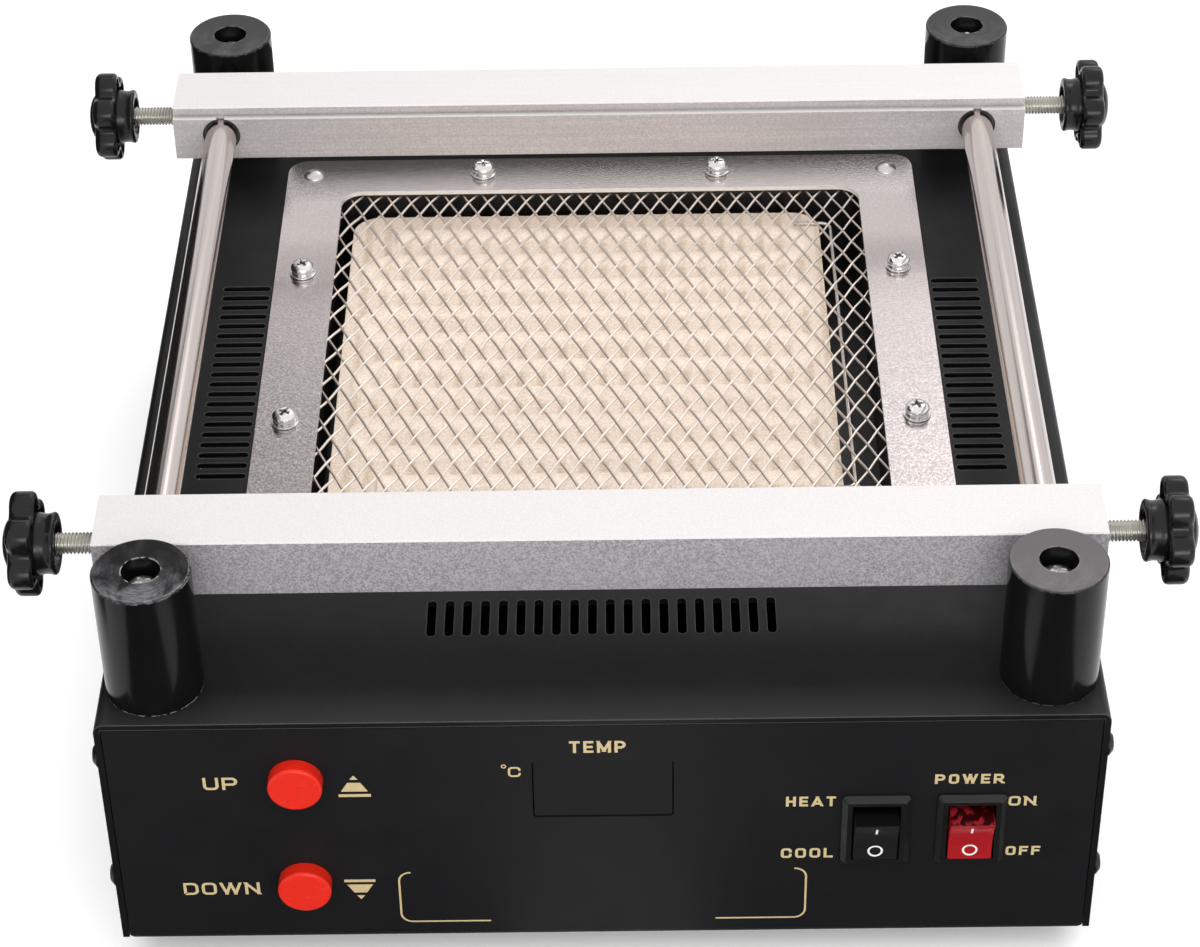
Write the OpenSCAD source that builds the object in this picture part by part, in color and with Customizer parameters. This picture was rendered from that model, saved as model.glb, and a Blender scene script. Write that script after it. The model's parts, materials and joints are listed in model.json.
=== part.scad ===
// Preheating station for circuit boards: a ceramic hot plate in a sheet metal case,
// with two clamping bars that slide on rods above it.
// Millimetres. X runs to the right, Y to the back and Z up. The feet stand on Z = 0
// and the case is centred on X = 0 and Y = 0, with its control panel towards -Y.

/* [Case] */
// Width of the case over the sides of the cover
case_w = 220; // [216:1:300]
// Depth of the case from control panel to back panel
case_d = 246; // [236:1:320]
// Height of the case without its feet
case_h = 67; // [66:1:100]
// Thickness of the folded steel sheet
sheet = 1.5; // [1.0:0.1:2.0]
// Outer radius of the folds
fold_r = 2.2; // [2.0:0.1:4.0]
// Free height under the case
foot_h = 8; // [5:0.5:15]
// Diameter of a foot where it meets the case
foot_d = 18; // [12:0.5:24]
// Distance of the feet from the edges of the case
foot_inset = 26; // [20:1:60]

/* [Vents] */
// Vent slots in each group
slot_count = 20; // [8:1:22]
// Distance from one slot to the next
slot_pitch = 4; // [3.2:0.1:4.4]
// Width of a slot
slot_w = 2; // [1.2:0.1:2.4]
// Length of a slot
slot_l = 12; // [8:0.5:14]

/* [Hot plate] */
// Outer size of the square bezel plate
plate_size = 166; // [160:1:180]
// Size of the square opening in the bezel plate
opening_size = 136; // [128:1:138]
// Thickness of the bezel plate
plate_t = 1.2; // [0.8:0.1:2.0]
// Corner radius of the bezel plate and its opening
plate_r = 5.5; // [3:0.5:10]
// How far the hot plate lies behind the middle of the case
plate_shift = 12.5; // [0:0.5:16]
// Size of the square ceramic heater
heater_size = 122; // [100:1:124]
// Thickness of the heater without its ridges
heater_t = 12; // [8:0.5:14]
// Corner radius of the heater
heater_r = 7; // [3:0.5:12]
// Rows of the ridge that covers the heater coil, an even number
ridge_rows = 10; // [4:2:12]
// How far the ridge stands out of the heater
ridge_h = 1.5; // [0.8:0.1:2.0]
// Sideways offset of the heater in its tray
heater_shift_x = -3.7; // [-6:0.1:6]
// Rearward offset of the heater in its tray
heater_shift_y = 1.9; // [-4:0.1:4]
// Diameter of the mesh wires
wire_d = 0.65; // [0.4:0.05:0.7]
// Distance between mesh wires, measured along X
mesh_pitch = 5.04; // [3.5:0.01:9]
// Angle from X of the wires that lean to the left
mesh_angle_a = 65.5; // [50:0.5:75]
// Angle from X of the wires that lean to the right
mesh_angle_b = 61; // [50:0.5:75]

/* [Board holder] */
// Diameter of a corner post
post_d = 21.5; // [18:0.5:24]
// Height of a corner post
post_h = 32.4; // [30:0.2:44]
// Post centre to the side of the case
post_inset_x = 12.3; // [12:0.1:20]
// Post centre to the front or back of the case
post_inset_y = 13.5; // [12:0.1:20]
// Diameter of the guide rods
rod_d = 8; // [6:0.5:9]
// Height of the rod centres over the case
rod_height = 23; // [20:0.5:25]
// Width of a clamping bar, front to back
bar_w = 19; // [16:0.5:24]
// Height of a clamping bar
bar_h = 14.6; // [13:0.1:18]
// Height of the ledge that holds the board's edge
ledge_h = 2.6; // [1.5:0.1:3.5]
// Depth of the ledge
ledge_d = 1.7; // [1.0:0.1:3.0]
// Gap between the front bar and the front posts at rest
front_bar_gap = 0.3; // [0.3:0.1:80]
// Gap between the rear bar and the rear posts at rest
rear_bar_gap = 4.7; // [0.3:0.1:80]

/* [Clamping knobs] */
// Diameter over the lobes of a knob
knob_d = 24; // [22:0.5:30]
// Lobes of a knob
knob_lobes = 6; // [5:1:8]
// Radius of a lobe
lobe_r = 3.9; // [3:0.1:4.5]
// Diameter of the knob at the bottom of the valleys between its lobes
valley_d = 18.4; // [17:0.1:20]
// Thickness of the lobed part
knob_t = 5.6; // [4:0.1:10]
// Height of the domed cap on the lobed part
knob_dome = 2.2; // [0.5:0.1:3]
// Diameter of the domed cap
cap_d = 12; // [8:0.5:14]
// Diameter of a knob's hub
hub_d = 14; // [12:0.5:16]
// Length of a knob's hub
hub_l = 4.2; // [3.5:0.1:8]
// Diameter of the clamping screw in a knob
stud_d = 5; // [3:0.5:6]
// Screw shown between a front knob and its bar
front_stud_show = 9; // [6.5:0.1:12]
// Screw shown between a rear knob and its bar
rear_stud_show = 10.8; // [6.5:0.1:12]
// Angles that the knobs stand at: front left, front right, rear left, rear right
knob_turns = [39, 22, 52, 10]; // [0:1:60]

/* [Controls] */
// Diameter of the two push buttons
button_d = 12; // [10:0.5:13]
// How far the push buttons stand out
button_out = 3.5; // [2:0.1:6]
// Travel of a push button
button_travel = 1; // [0.5:0.1:1.5]
// Sideways position of the push buttons
button_x = -67.2; // [-80:0.1:-60]
// Height of the upper button over the case bottom
up_button_z = 50.2; // [46:0.1:54]
// Height of the lower button over the case bottom
down_button_z = 18.5; // [16:0.1:24]
// Width of the display window
display_w = 31; // [24:0.5:36]
// Height of the display window
display_h = 17; // [12:0.5:20]
// Height of the display's middle over the case bottom
display_z = 46.4; // [40:0.1:48]
// Width of a rocker switch over its bezel
switch_w = 15.3; // [14:0.1:18]
// Height of a rocker switch over its bezel
switch_h = 21; // [20:0.1:26]
// Sideways position of the heat and cool switch
heat_switch_x = 60.2; // [50:0.1:62]
// Sideways position of the power switch
power_switch_x = 81.2; // [78:0.1:84]
// Height of both switches over the case bottom
switch_z = 33.4; // [30:0.1:40]
// Angle that a rocker tips to either side of its middle
rocker_tip = 14; // [8:0.5:14]

/* [Hidden] */
$fn = 64;
eps = 0.01;

// Clearances, each between the surfaces of two neighbouring pieces
cover_gap = 0.2;
slide_gap = 0.06;
screw_gap = 0.15;
thread_gap = 0.02;
pocket_gap = 0.3;

// Levels in the case
z_case = foot_h;
z_floor = z_case + sheet;
z_top = z_case + case_h;
z_roof = z_top - sheet;
y_front = -case_d / 2;
y_back = case_d / 2;
panel_w = case_w - 2 * sheet - 2 * cover_gap;
relief = 1.8;
cover_lift = 1.3;
foot_taper = 1.5;
foot_web = 3;
side_slots = [20.1, 0.5];
front_slots_at = 33.8;
floor_vent_x = 40;
floor_vent_count = 12;

// Fasteners: M3 for sheet and boards, M4 for the posts
m3_d = 3;
m3_head_d = 5.8;
m3_head_h = 2.1;
m3_nut_h = 2.4;
m3_nut_across = 5.5;
m4_d = 4;
m4_head_d = 7.2;
m4_head_h = 2.4;
m4_nut_h = 3.2;
m4_nut_across = 7;
cover_screw_l = 6;
plate_screw_l = 8.5;
flat_washer = [6.6, 0.5];
spring_washer = [5.5, 0.8];
washer_stack = flat_washer[1] + spring_washer[1];

// Side flanges of the front and back panels, which take the cover screws
flange_d = 12;
flange_top_gap = 3;
side_screw_zs = [z_case + 15, z_case + case_h - 15];
side_screw_ys = [y_front + 7, y_back - 7];

// Heater tray under the cover
frame_size = opening_size + 9;
frame_t = sheet - 0.2;
tray_in = opening_size + 2;
tray_sheet = 1;
tray_depth = 26;
tray_flange = plate_size - 6;
tray_floor = z_roof - tray_depth;
cover_opening = frame_size + 2 * pocket_gap;
ridge_top = z_top - 2.2;
heater_top = ridge_top - ridge_h;
heater_bottom = heater_top - heater_t;
pad_t = 7.8;
pad_size = heater_size - 4;
bush_d = 9;
bush_at = heater_size / 2 - 16;
lead_x = 8;
lead_hole_d = 5;
probe_d = 4;
ridge_pitch = (heater_size - 8) / ridge_rows;
ridge_r = 0.46 * ridge_pitch;
ridge_run = heater_size - 12 - ridge_pitch;
screw_at = (plate_size + opening_size) / 4 + 0.5;
screw_side = 31;
clip_d = 1;
clip_off = 2.9;
clip_x = heater_shift_x + heater_size / 2 + clip_off;
probe_tail = 14;

// Board holder
post_x = case_w / 2 - post_inset_x;
post_y = case_d / 2 - post_inset_y;
z_rod = z_top + rod_height;
post_edge = 0.4;
rod_past_screw = 5.8;
rod_half = post_y + rod_past_screw;
rod_flat = 0.4;
rod_edge = 0.5;
bar_edge = 0.3;
seat_z = z_rod + rod_d / 2 - rod_flat;
counterbore_d = 8.5;
bar_l = case_w;
front_bar_y = -post_y + post_d / 2 + front_bar_gap + bar_w / 2;
rear_bar_y = post_y - post_d / 2 - rear_bar_gap - bar_w / 2;
bore_mouth_d = rod_d + 1.6;
bore_mouth_l = 1.2;
rod_touch_gap = 0.1;
stud_l = bar_l / 2 + front_stud_show - (post_x + rod_d / 2 + rod_touch_gap);
stud_grip = 5;
stud_edge = 0.5;
knob_wall = 1.5;
knob_edge = 1.6;
lobe_fillet = 1.5;
hub_waist = 0.45;
hub_hollow = [9.4, 1.8];

// Control panel
panel_in = y_front + sheet;
button_flange_d = button_d + 2.4;
button_flange_t = 1;
button_flange_y = panel_in + 0.2;
button_round = 0.8;
window_t = 1.2;
window_rim = 1.5;
window_r = 0.8;
window_set = 0.3;
standoff_d = 5.5 / cos(30);
board_y = y_front + 12;
board_t = 1.6;
key_size = 12;
key_h = 5;
plunger_d = 6.4;
board_x1 = button_x - 9;
board_x2 = display_w / 2 + window_rim + standoff_d + 2;
board_z1 = z_case + down_button_z - 9;
board_z2 = z_case + display_z + 13;
standoff_xs = [button_x + 13, display_w / 2 + window_rim + standoff_d / 2 + pocket_gap];
standoff_zs = [board_z1 + 3.5, board_z2 - 3];
switch_bezel_t = 1.8;
bezel_edge = 0.6;
bezel_slope = 1.2;
switch_body_w = switch_w - 2.1;
switch_body_h = switch_h - 1.8;
switch_body_l = 14;
rocker_w = 9.8;
rocker_half = 7;
rocker_pivot = 2.9;
rocker_lift = 0.4;
rocker_dip = 1.2;
pin_d = 2;

// Back panel
fan_size = 60;
fan_t = 15;
fan_x = -58;
fan_z = z_case + case_h / 2;
fan_bore = 57;
hub_fan_d = 26;
fan_shaft_d = 3;
fan_cup_t = 2;
fan_face_gap = 0.5;
fan_hole_at = fan_size / 2 - 5;
blade_count = 7;
guard_first = 9.5;
guard_pitch = 5.5;
guard_cut = 3.8;
guard_spoke = 2.4;
inlet_x = 66;
inlet_z = z_case + 24;
inlet_flange = [32, 24];
inlet_flange_t = 2.6;
inlet_hole_at = 20;
inlet_body = [27, 19];
inlet_body_l = 22;
inlet_socket = [24, 16];
inlet_socket_l = 15;
inlet_pin = [2, 29, 4];
inlet_pin_places = [[-7, -1.5], [7, -1.5], [0, 3.5]];
inlet_pin_y = y_back - 16.5;
fuse_x = 20;
fuse_z = z_case + 24;
fuse_d = 12;
fuse_l = 24;
fuse_rim = [16, 2];
fuse_nut = [17, 3];
fuse_cap_l = 3;

// Boards on the floor of the case
power_board = [92, 58];
power_board_at = [-44, -46];
power_board_z = z_floor + 6;
power_hole_inset = 4;

// Flat shapes

module round_rect(w, h, r) {
    square([w - 2 * r, h], center = true);
    square([w, h - 2 * r], center = true);
    for (x = [-1, 1], y = [-1, 1])
        translate([x * (w / 2 - r), y * (h / 2 - r)])
            circle(r = r);
}

// A slot with round ends along X
module slot(l, w) {
    square([l - w, w], center = true);
    for (x = [-1, 1])
        translate([x * (l - w) / 2, 0])
            circle(d = w);
}

// A row of slots side by side along Y, each one long in X
module slot_row(count) {
    for (i = [0 : count - 1])
        translate([0, (i - (count - 1) / 2) * slot_pitch])
            slot(slot_l, slot_w);
}

// A fan guard pattern: rings cut through, with spokes left between them
module guard_cuts() {
    difference() {
        for (r = [guard_first : guard_pitch : fan_bore / 2])
            difference() {
                circle(r = r + guard_cut / 2);
                circle(r = r - guard_cut / 2);
            }
        for (a = [0 : 45 : 135])
            rotate(a)
                square([2 * fan_size, guard_spoke], center = true);
    }
}

// Outline of a star knob, set back by inset all round: round lobes on a round core, with a
// fillet on both sides of each lobe that touches the lobe and the core
module star_outline(inset = 0) {
    lobe_at = knob_d / 2 - lobe_r;
    to_core = valley_d / 2 + lobe_fillet;
    to_lobe = lobe_r + lobe_fillet;
    swing = acos((lobe_at * lobe_at + to_core * to_core - to_lobe * to_lobe) / (2 * lobe_at * to_core));
    fillet_at = to_core * [cos(swing), sin(swing)];
    circle(d = valley_d - 2 * inset);
    for (i = [0 : knob_lobes - 1], side = [0, 1])
        rotate(360 / knob_lobes * i)
            mirror([0, side]) {
                translate([lobe_at, 0])
                    circle(r = lobe_r - inset);
                difference() {
                    polygon([[0, 0], [lobe_at, 0], fillet_at]);
                    translate(fillet_at)
                        circle(r = lobe_fillet + inset);
                }
            }
}

// Fasteners, standing on Z = 0 with the shank below

module pan_head(head_d, head_h) {
    difference() {
        union() {
            cylinder(d = head_d, h = head_h * 0.55);
            translate([0, 0, head_h * 0.55])
                cylinder(d1 = head_d, d2 = head_d * 0.62, h = head_h * 0.45);
        }
        for (a = [0, 90])
            rotate(a)
                translate([0, 0, head_h])
                    cube([head_d * 0.5, head_d * 0.14, head_h], center = true);
    }
}

module pan_screw(d, head_d, head_h, l) {
    pan_head(head_d, head_h);
    translate([0, 0, -l])
        cylinder(d = d, h = l + eps);
}

module hex_nut(d, across, h) {
    difference() {
        cylinder(d = across / cos(30), h = h, $fn = 6);
        translate([0, 0, -1])
            cylinder(d = d + 2 * thread_gap, h = h + 2);
    }
}

// Places that several pieces share

module at_posts() {
    for (x = [-1, 1], y = [-1, 1])
        translate([x * post_x, y * post_y, 0])
            children();
}

module at_plate_screws() {
    for (a = [0 : 90 : 270], s = [-1, 1])
        translate([0, plate_shift, 0])
            rotate(a)
                translate([screw_at, s * screw_side, 0])
                    children();
}

module at_plate_rivets() {
    for (x = [-1, 1], y = [-1, 1])
        translate([x * screw_at, plate_shift + y * screw_at, 0])
            children();
}

module at_feet() {
    for (x = [-1, 1], y = [-1, 1])
        translate([x * (case_w / 2 - foot_inset), y * (case_d / 2 - foot_inset), 0])
            children();
}

// The side screws, with Z pointing out of the case
module at_side_screws() {
    for (side = [-1, 1], y = side_screw_ys, z = side_screw_zs)
        translate([side * case_w / 2, y, z])
            rotate([0, side * 90, 0])
                children();
}

module at_fan_screws() {
    for (x = [-1, 1], z = [-1, 1])
        translate([fan_x + x * fan_hole_at, y_back, fan_z + z * fan_hole_at])
            rotate([-90, 0, 0])
                children();
}

module at_inlet_screws() {
    for (x = [-1, 1])
        translate([inlet_x + x * inlet_hole_at, y_back, inlet_z])
            rotate([-90, 0, 0])
                children();
}

// The three blades of the inlet, in two rows
module at_inlet_pins() {
    for (p = inlet_pin_places)
        translate([inlet_x + p[0], inlet_pin_y, inlet_z + p[1]])
            children();
}

module at_heater_bushes() {
    for (x = [-1, 1], y = [-1, 1])
        translate([heater_shift_x + x * bush_at, plate_shift + heater_shift_y + y * bush_at, 0])
            children();
}

module at_power_standoffs() {
    for (x = [-1, 1], y = [-1, 1])
        translate([
            power_board_at[0] + x * (power_board[0] / 2 - power_hole_inset),
            power_board_at[1] + y * (power_board[1] / 2 - power_hole_inset),
            0
        ])
            children();
}

// Turns a flat shape drawn in X and Z into a slab of thickness t that starts at y
module upright(y, t) {
    translate([0, y + t, 0])
        rotate([90, 0, 0])
            linear_extrude(t)
                children();
}

// Case

// Folded tray: floor, control panel and back panel, drawn in Y and Z
module chassis_profile() {
    h = case_h - sheet - cover_gap;
    difference() {
        union() {
            translate([0, h / 2 + fold_r / 2])
                square([case_d, h - fold_r], center = true);
            translate([0, fold_r])
                square([case_d - 2 * fold_r, 2 * fold_r], center = true);
            for (y = [-1, 1])
                translate([y * (case_d / 2 - fold_r), fold_r])
                    circle(r = fold_r);
        }
        translate([0, sheet + case_h / 2])
            square([case_d - 2 * sheet, case_h], center = true);
    }
}

module chassis() {
    flange_h = case_h - 2 * sheet - flange_top_gap;
    color("#212123")
    difference() {
        union() {
            translate([-panel_w / 2, 0, z_case])
                rotate([90, 0, 90])
                    linear_extrude(panel_w)
                        chassis_profile();
            for (side = [-1, 1], end = [-1, 1])
                translate([
                    side * (panel_w / 2 - sheet / 2),
                    end * (case_d / 2 - sheet - flange_d / 2),
                    z_floor + flange_h / 2
                ])
                    cube([sheet, flange_d + 2 * eps, flange_h + 2 * eps], center = true);
        }
        chassis_cuts();
    }
}

module chassis_cuts() {
    for (side = [-1, 1], end = [-1, 1])
        translate([side * panel_w / 2, end * case_d / 2, z_case])
            rotate([0, 45, 0])
                cube([relief * sqrt(2), 4 * fold_r, relief * sqrt(2)], center = true);
    at_side_screws()
        translate([0, 0, -2 * flange_d])
            cylinder(d = m3_d + 2 * thread_gap, h = 2 * flange_d);
    // Control panel
    for (z = [up_button_z, down_button_z])
        translate([button_x, y_front - 1, z_case + z])
            rotate([-90, 0, 0])
                cylinder(d = button_d + 2 * slide_gap, h = sheet + 2);
    upright(y_front - 1, sheet + 2)
        translate([0, z_case + display_z])
            round_rect(display_w, display_h, window_r);
    for (x = [heat_switch_x, power_switch_x])
        translate([x, y_front, z_case + switch_z])
            cube([
                switch_body_w + 2 * screw_gap, 3 * sheet, switch_body_h + 2 * screw_gap
            ], center = true);
    // Back panel
    upright(y_back - sheet - 1, sheet + 2)
        translate([fan_x, fan_z])
            guard_cuts();
    at_fan_screws()
        translate([0, 0, -sheet - 1])
            cylinder(d = m3_d + 2 * screw_gap, h = sheet + 2);
    at_inlet_screws()
        translate([0, 0, -sheet - 1])
            cylinder(d = m3_d + 2 * screw_gap, h = sheet + 2);
    upright(y_back - sheet - 1, sheet + 2)
        translate([inlet_x, inlet_z])
            round_rect(inlet_body[0] + 1, inlet_body[1] + 1, 2);
    translate([fuse_x, y_back - sheet - 1, fuse_z])
        rotate([-90, 0, 0])
            cylinder(d = fuse_d + 2 * screw_gap, h = sheet + 2);
    // Floor
    at_feet()
        translate([0, 0, z_case - 1])
            cylinder(d = m3_d + 2 * thread_gap, h = sheet + 2);
    at_power_standoffs()
        translate([0, 0, z_case - 1])
            cylinder(d = m3_d + 2 * screw_gap, h = sheet + 2);
    for (x = [-1, 1])
        translate([x * floor_vent_x, plate_shift, z_case - 1])
            linear_extrude(sheet + 2)
                rotate(90)
                    slot_row(floor_vent_count);
}

// Cover, drawn in X and Z: a top with two sides that end just above the case's bottom
module cover_profile() {
    difference() {
        union() {
            translate([0, (cover_lift + case_h - fold_r) / 2])
                square([case_w, case_h - fold_r - cover_lift], center = true);
            translate([0, case_h - fold_r])
                square([case_w - 2 * fold_r, 2 * fold_r], center = true);
            for (x = [-1, 1])
                translate([x * (case_w / 2 - fold_r), case_h - fold_r])
                    circle(r = fold_r);
        }
        translate([0, (case_h - sheet) / 2 - 1])
            square([case_w - 2 * sheet, case_h - sheet + 2], center = true);
    }
}

module top_cover() {
    color("#1d1d1f")
    difference() {
        translate([0, y_back, z_case])
            rotate([90, 0, 0])
                linear_extrude(case_d)
                    cover_profile();
        translate([0, 0, z_roof - 1])
            linear_extrude(sheet + 2) {
                translate([0, plate_shift])
                    round_rect(cover_opening, cover_opening, plate_r);
                for (x = [-1, 1])
                    translate([x * (case_w / 2 - side_slots[0]), side_slots[1]])
                        slot_row(slot_count);
                translate([0, y_front + front_slots_at])
                    rotate(90)
                        slot_row(slot_count);
            }
        at_posts()
            translate([0, 0, z_roof - 1])
                cylinder(d = m4_d + 2 * screw_gap, h = sheet + 2);
        at_plate_screws()
            translate([0, 0, z_roof - 1])
                cylinder(d = m3_d + 2 * screw_gap, h = sheet + 2);
        at_plate_rivets()
            translate([0, 0, z_roof - 1])
                cylinder(d = m3_d + 2 * thread_gap, h = sheet + 2);
        at_side_screws()
            translate([0, 0, -sheet - 1])
                cylinder(d = m3_d + 2 * screw_gap, h = sheet + 2);
    }
}

module cover_screws() {
    color("#c9c8c4")
    at_side_screws()
        pan_screw(m3_d, m3_head_d, m3_head_h, cover_screw_l);
}

module feet() {
    color("#18181a")
    at_feet()
        difference() {
            cylinder(d1 = foot_d - 2 * foot_taper, d2 = foot_d, h = foot_h);
            translate([0, 0, -1])
                cylinder(d = m3_head_d + 4 * pocket_gap, h = foot_h - foot_web + 1);
            cylinder(d = m3_d + 2 * screw_gap, h = foot_h + 1);
        }
}

module foot_screws() {
    color("#c9c8c4")
    at_feet()
        translate([0, 0, foot_h - foot_web])
            mirror([0, 0, 1])
                pan_screw(m3_d, m3_head_d, m3_head_h, foot_web + sheet + 3);
}

// Hot plate

module heater_tray() {
    color("#4a4947")
    translate([0, plate_shift, 0])
        difference() {
            union() {
                translate([0, 0, z_roof - tray_sheet])
                    linear_extrude(tray_sheet)
                        round_rect(tray_flange, tray_flange, plate_r);
                translate([0, 0, tray_floor])
                    linear_extrude(tray_depth - eps)
                        round_rect(tray_in + 2 * tray_sheet, tray_in + 2 * tray_sheet, plate_r + tray_sheet);
            }
            translate([0, 0, tray_floor + tray_sheet])
                linear_extrude(tray_depth)
                    round_rect(tray_in, tray_in, plate_r);
            translate([0, -plate_shift, 0]) {
                at_plate_screws()
                    translate([0, 0, z_roof - tray_sheet - 1])
                        cylinder(d = m3_d + 2 * screw_gap, h = tray_sheet + 2);
                at_plate_rivets()
                    translate([0, 0, z_roof - tray_sheet - 1])
                        cylinder(d = m3_d + 2 * thread_gap, h = tray_sheet + 2);
            }
            // Way in for the heater wires and the thermocouple
            for (x = [-1, 1])
                translate([heater_shift_x + x * lead_x, heater_shift_y, tray_floor - 1])
                    cylinder(d = lead_hole_d, h = tray_sheet + 2);
        }
}

module insulation_pad() {
    color("#d8d5cc")
    difference() {
        translate([heater_shift_x, plate_shift + heater_shift_y, tray_floor + tray_sheet])
            linear_extrude(pad_t)
                round_rect(pad_size, pad_size, heater_r);
        at_heater_bushes()
            translate([0, 0, tray_floor])
                cylinder(d = bush_d + 2 * pocket_gap, h = pad_t + 3);
        for (x = [-1, 1])
            translate([heater_shift_x + x * lead_x, plate_shift + heater_shift_y, tray_floor])
                cylinder(d = lead_hole_d, h = pad_t + 3);
    }
}

module heater_bushes() {
    color("#efe9dc")
    at_heater_bushes()
        translate([0, 0, tray_floor + tray_sheet])
            cylinder(d = bush_d, h = heater_bottom - tray_floor - tray_sheet);
}

// One ridge on top of the coil: straight rows joined by round turns, left and right by turns
module heater_ridge() {
    first = -(ridge_rows - 1) / 2;
    for (i = [0 : ridge_rows - 1])
        translate([0, (first + i) * ridge_pitch, 0])
            rotate([0, 90, 0])
                cylinder(r = ridge_r, h = ridge_run + 2 * eps, center = true);
    for (i = [0 : ridge_rows - 2])
        translate([0, (first + i + 0.5) * ridge_pitch, 0])
            mirror([i % 2, 0, 0])
                translate([ridge_run / 2, 0, 0])
                    rotate(-90)
                        rotate_extrude(angle = 180)
                            translate([ridge_pitch / 2, 0])
                                circle(r = ridge_r);
}

module ceramic_heater() {
    color("#ead9c3")
    translate([heater_shift_x, plate_shift + heater_shift_y, 0]) {
        translate([0, 0, heater_bottom])
            linear_extrude(heater_t)
                round_rect(heater_size, heater_size, heater_r);
        translate([0, 0, ridge_top - ridge_r])
            heater_ridge();
    }
}

// Bent wire that hooks over the right-hand corners of the heater
module heater_clip() {
    bend = 2.5;
    half = heater_size / 2 - 8.5;
    reach = 7;
    color("#d9d8d4")
    translate([clip_x, plate_shift + heater_shift_y, heater_top + clip_d / 2]) {
        rotate([90, 0, 0])
            cylinder(d = clip_d, h = 2 * half, center = true);
        for (y = [-1, 1])
            mirror([0, (1 - y) / 2, 0])
                translate([-bend, half, 0]) {
                    rotate_extrude(angle = 90)
                        translate([bend, 0])
                            circle(d = clip_d);
                    translate([0, bend, 0])
                        rotate([0, -90, 0])
                            cylinder(d = clip_d, h = reach);
                }
    }
}

module thermocouple() {
    color("#b9b6ae")
    translate([heater_shift_x + lead_x, plate_shift + heater_shift_y, tray_floor - probe_tail])
        cylinder(d = probe_d, h = heater_bottom - tray_floor + probe_tail);
}

module bezel_plate() {
    color("#cfc9c6")
    difference() {
        translate([0, plate_shift, z_top])
            linear_extrude(plate_t)
                difference() {
                    round_rect(plate_size, plate_size, plate_r);
                    round_rect(opening_size, opening_size, plate_r);
                }
        at_plate_screws()
            translate([0, 0, z_top - 1])
                cylinder(d = m3_d + 2 * screw_gap, h = plate_t + 2);
        at_plate_rivets()
            translate([0, 0, z_top - 1])
                cylinder(d = m3_d + 2 * thread_gap, h = plate_t + 2);
    }
}

// One family of parallel wires whose angle from X is given. Each wire is as long as it
// needs to be to reach its frame on both ends.
module mesh_wires(angle) {
    reach = opening_size / 2 + 2;
    rise = tan(angle);
    lean = 2 * reach / abs(rise);
    count = ceil((reach + lean / 2) / mesh_pitch);
    for (i = [-count : count]) {
        x0 = i * mesh_pitch;
        y_a = rise > 0 ? (-reach - x0) * rise : (reach - x0) * rise;
        y_b = rise > 0 ? (reach - x0) * rise : (-reach - x0) * rise;
        y1 = max(-reach, y_a);
        y2 = min(reach, y_b);
        if (y2 - y1 > 4)
            translate([x0 + y1 / rise, y1, 0])
                rotate([-90, 0, 0])
                    rotate([0, 90 - angle, 0])
                        cylinder(d = wire_d, h = (y2 - y1) / abs(sin(angle)), $fn = 24);
    }
}

module wire_mesh() {
    apart = wire_d / 2 + 0.01;
    color("#c8c5bf")
    translate([0, plate_shift, z_top - sheet / 2]) {
        translate([0, 0, -frame_t / 2])
            linear_extrude(frame_t)
                difference() {
                    round_rect(frame_size, frame_size, plate_r);
                    round_rect(opening_size + 1, opening_size + 1, plate_r);
                }
        translate([0, 0, apart])
            mesh_wires(180 - mesh_angle_a);
        translate([0, 0, -apart])
            mesh_wires(mesh_angle_b);
    }
}

module plate_screws() {
    color("#c9c8c4")
    at_plate_screws()
        translate([0, 0, z_top + plate_t + washer_stack])
            pan_screw(m3_d, m3_head_d, m3_head_h, plate_screw_l);
}

// A flat washer and a spring washer under each head
module plate_washers() {
    color("#b4b2ab")
    at_plate_screws()
        translate([0, 0, z_top + plate_t])
            difference() {
                union() {
                    cylinder(d = flat_washer[0], h = flat_washer[1]);
                    cylinder(d = spring_washer[0], h = washer_stack);
                }
                translate([0, 0, -1])
                    cylinder(d = m3_d + 2 * screw_gap, h = washer_stack + 2);
            }
}

module plate_nuts() {
    color("#b4b2ab")
    at_plate_screws()
        translate([0, 0, z_roof - tray_sheet - m3_nut_h])
            hex_nut(m3_d, m3_nut_across, m3_nut_h);
}

// Blind rivets: a domed head above, a shank and a set end below
module plate_rivets() {
    head_d = 5.6;
    head_h = 1.5;
    tail_d = 4.4;
    tail_l = 2;
    grip = plate_t + sheet + tray_sheet;
    ball_r = (head_d * head_d / 4 + head_h * head_h) / (2 * head_h);
    color("#cfccc6")
    at_plate_rivets()
        translate([0, 0, z_top + plate_t]) {
            intersection() {
                cylinder(d = head_d, h = head_h);
                translate([0, 0, head_h - ball_r])
                    sphere(r = ball_r, $fn = 48);
            }
            translate([0, 0, -grip - eps])
                cylinder(d = m3_d, h = grip + 2 * eps);
            translate([0, 0, -grip - tail_l])
                cylinder(d = tail_d, h = tail_l);
        }
}

// Board holder

// A post stands on Z = z_top. Its rod enters from +Y.
module post() {
    difference() {
        translate([0, 0, z_top])
            union() {
                cylinder(d = post_d, h = post_h - post_edge);
                translate([0, 0, post_h - post_edge])
                    cylinder(d1 = post_d, d2 = post_d - 2 * post_edge, h = post_edge);
            }
        translate([0, 0, seat_z - 0.5])
            cylinder(d = counterbore_d, h = post_h);
        translate([0, 0, z_top - 1])
            cylinder(d = m4_d + 2 * screw_gap, h = post_h);
        translate([0, -rod_past_screw - 0.1, z_rod])
            rotate([-90, 0, 0])
                cylinder(d = rod_d + 2 * thread_gap, h = post_d);
    }
}

module front_left_post() {
    color("#141416")
    translate([-post_x, -post_y, 0])
        post();
}

module front_right_post() {
    color("#141416")
    translate([post_x, -post_y, 0])
        post();
}

module rear_left_post() {
    color("#141416")
    translate([-post_x, post_y, 0])
        mirror([0, 1, 0])
            post();
}

module rear_right_post() {
    color("#141416")
    translate([post_x, post_y, 0])
        mirror([0, 1, 0])
            post();
}

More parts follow.
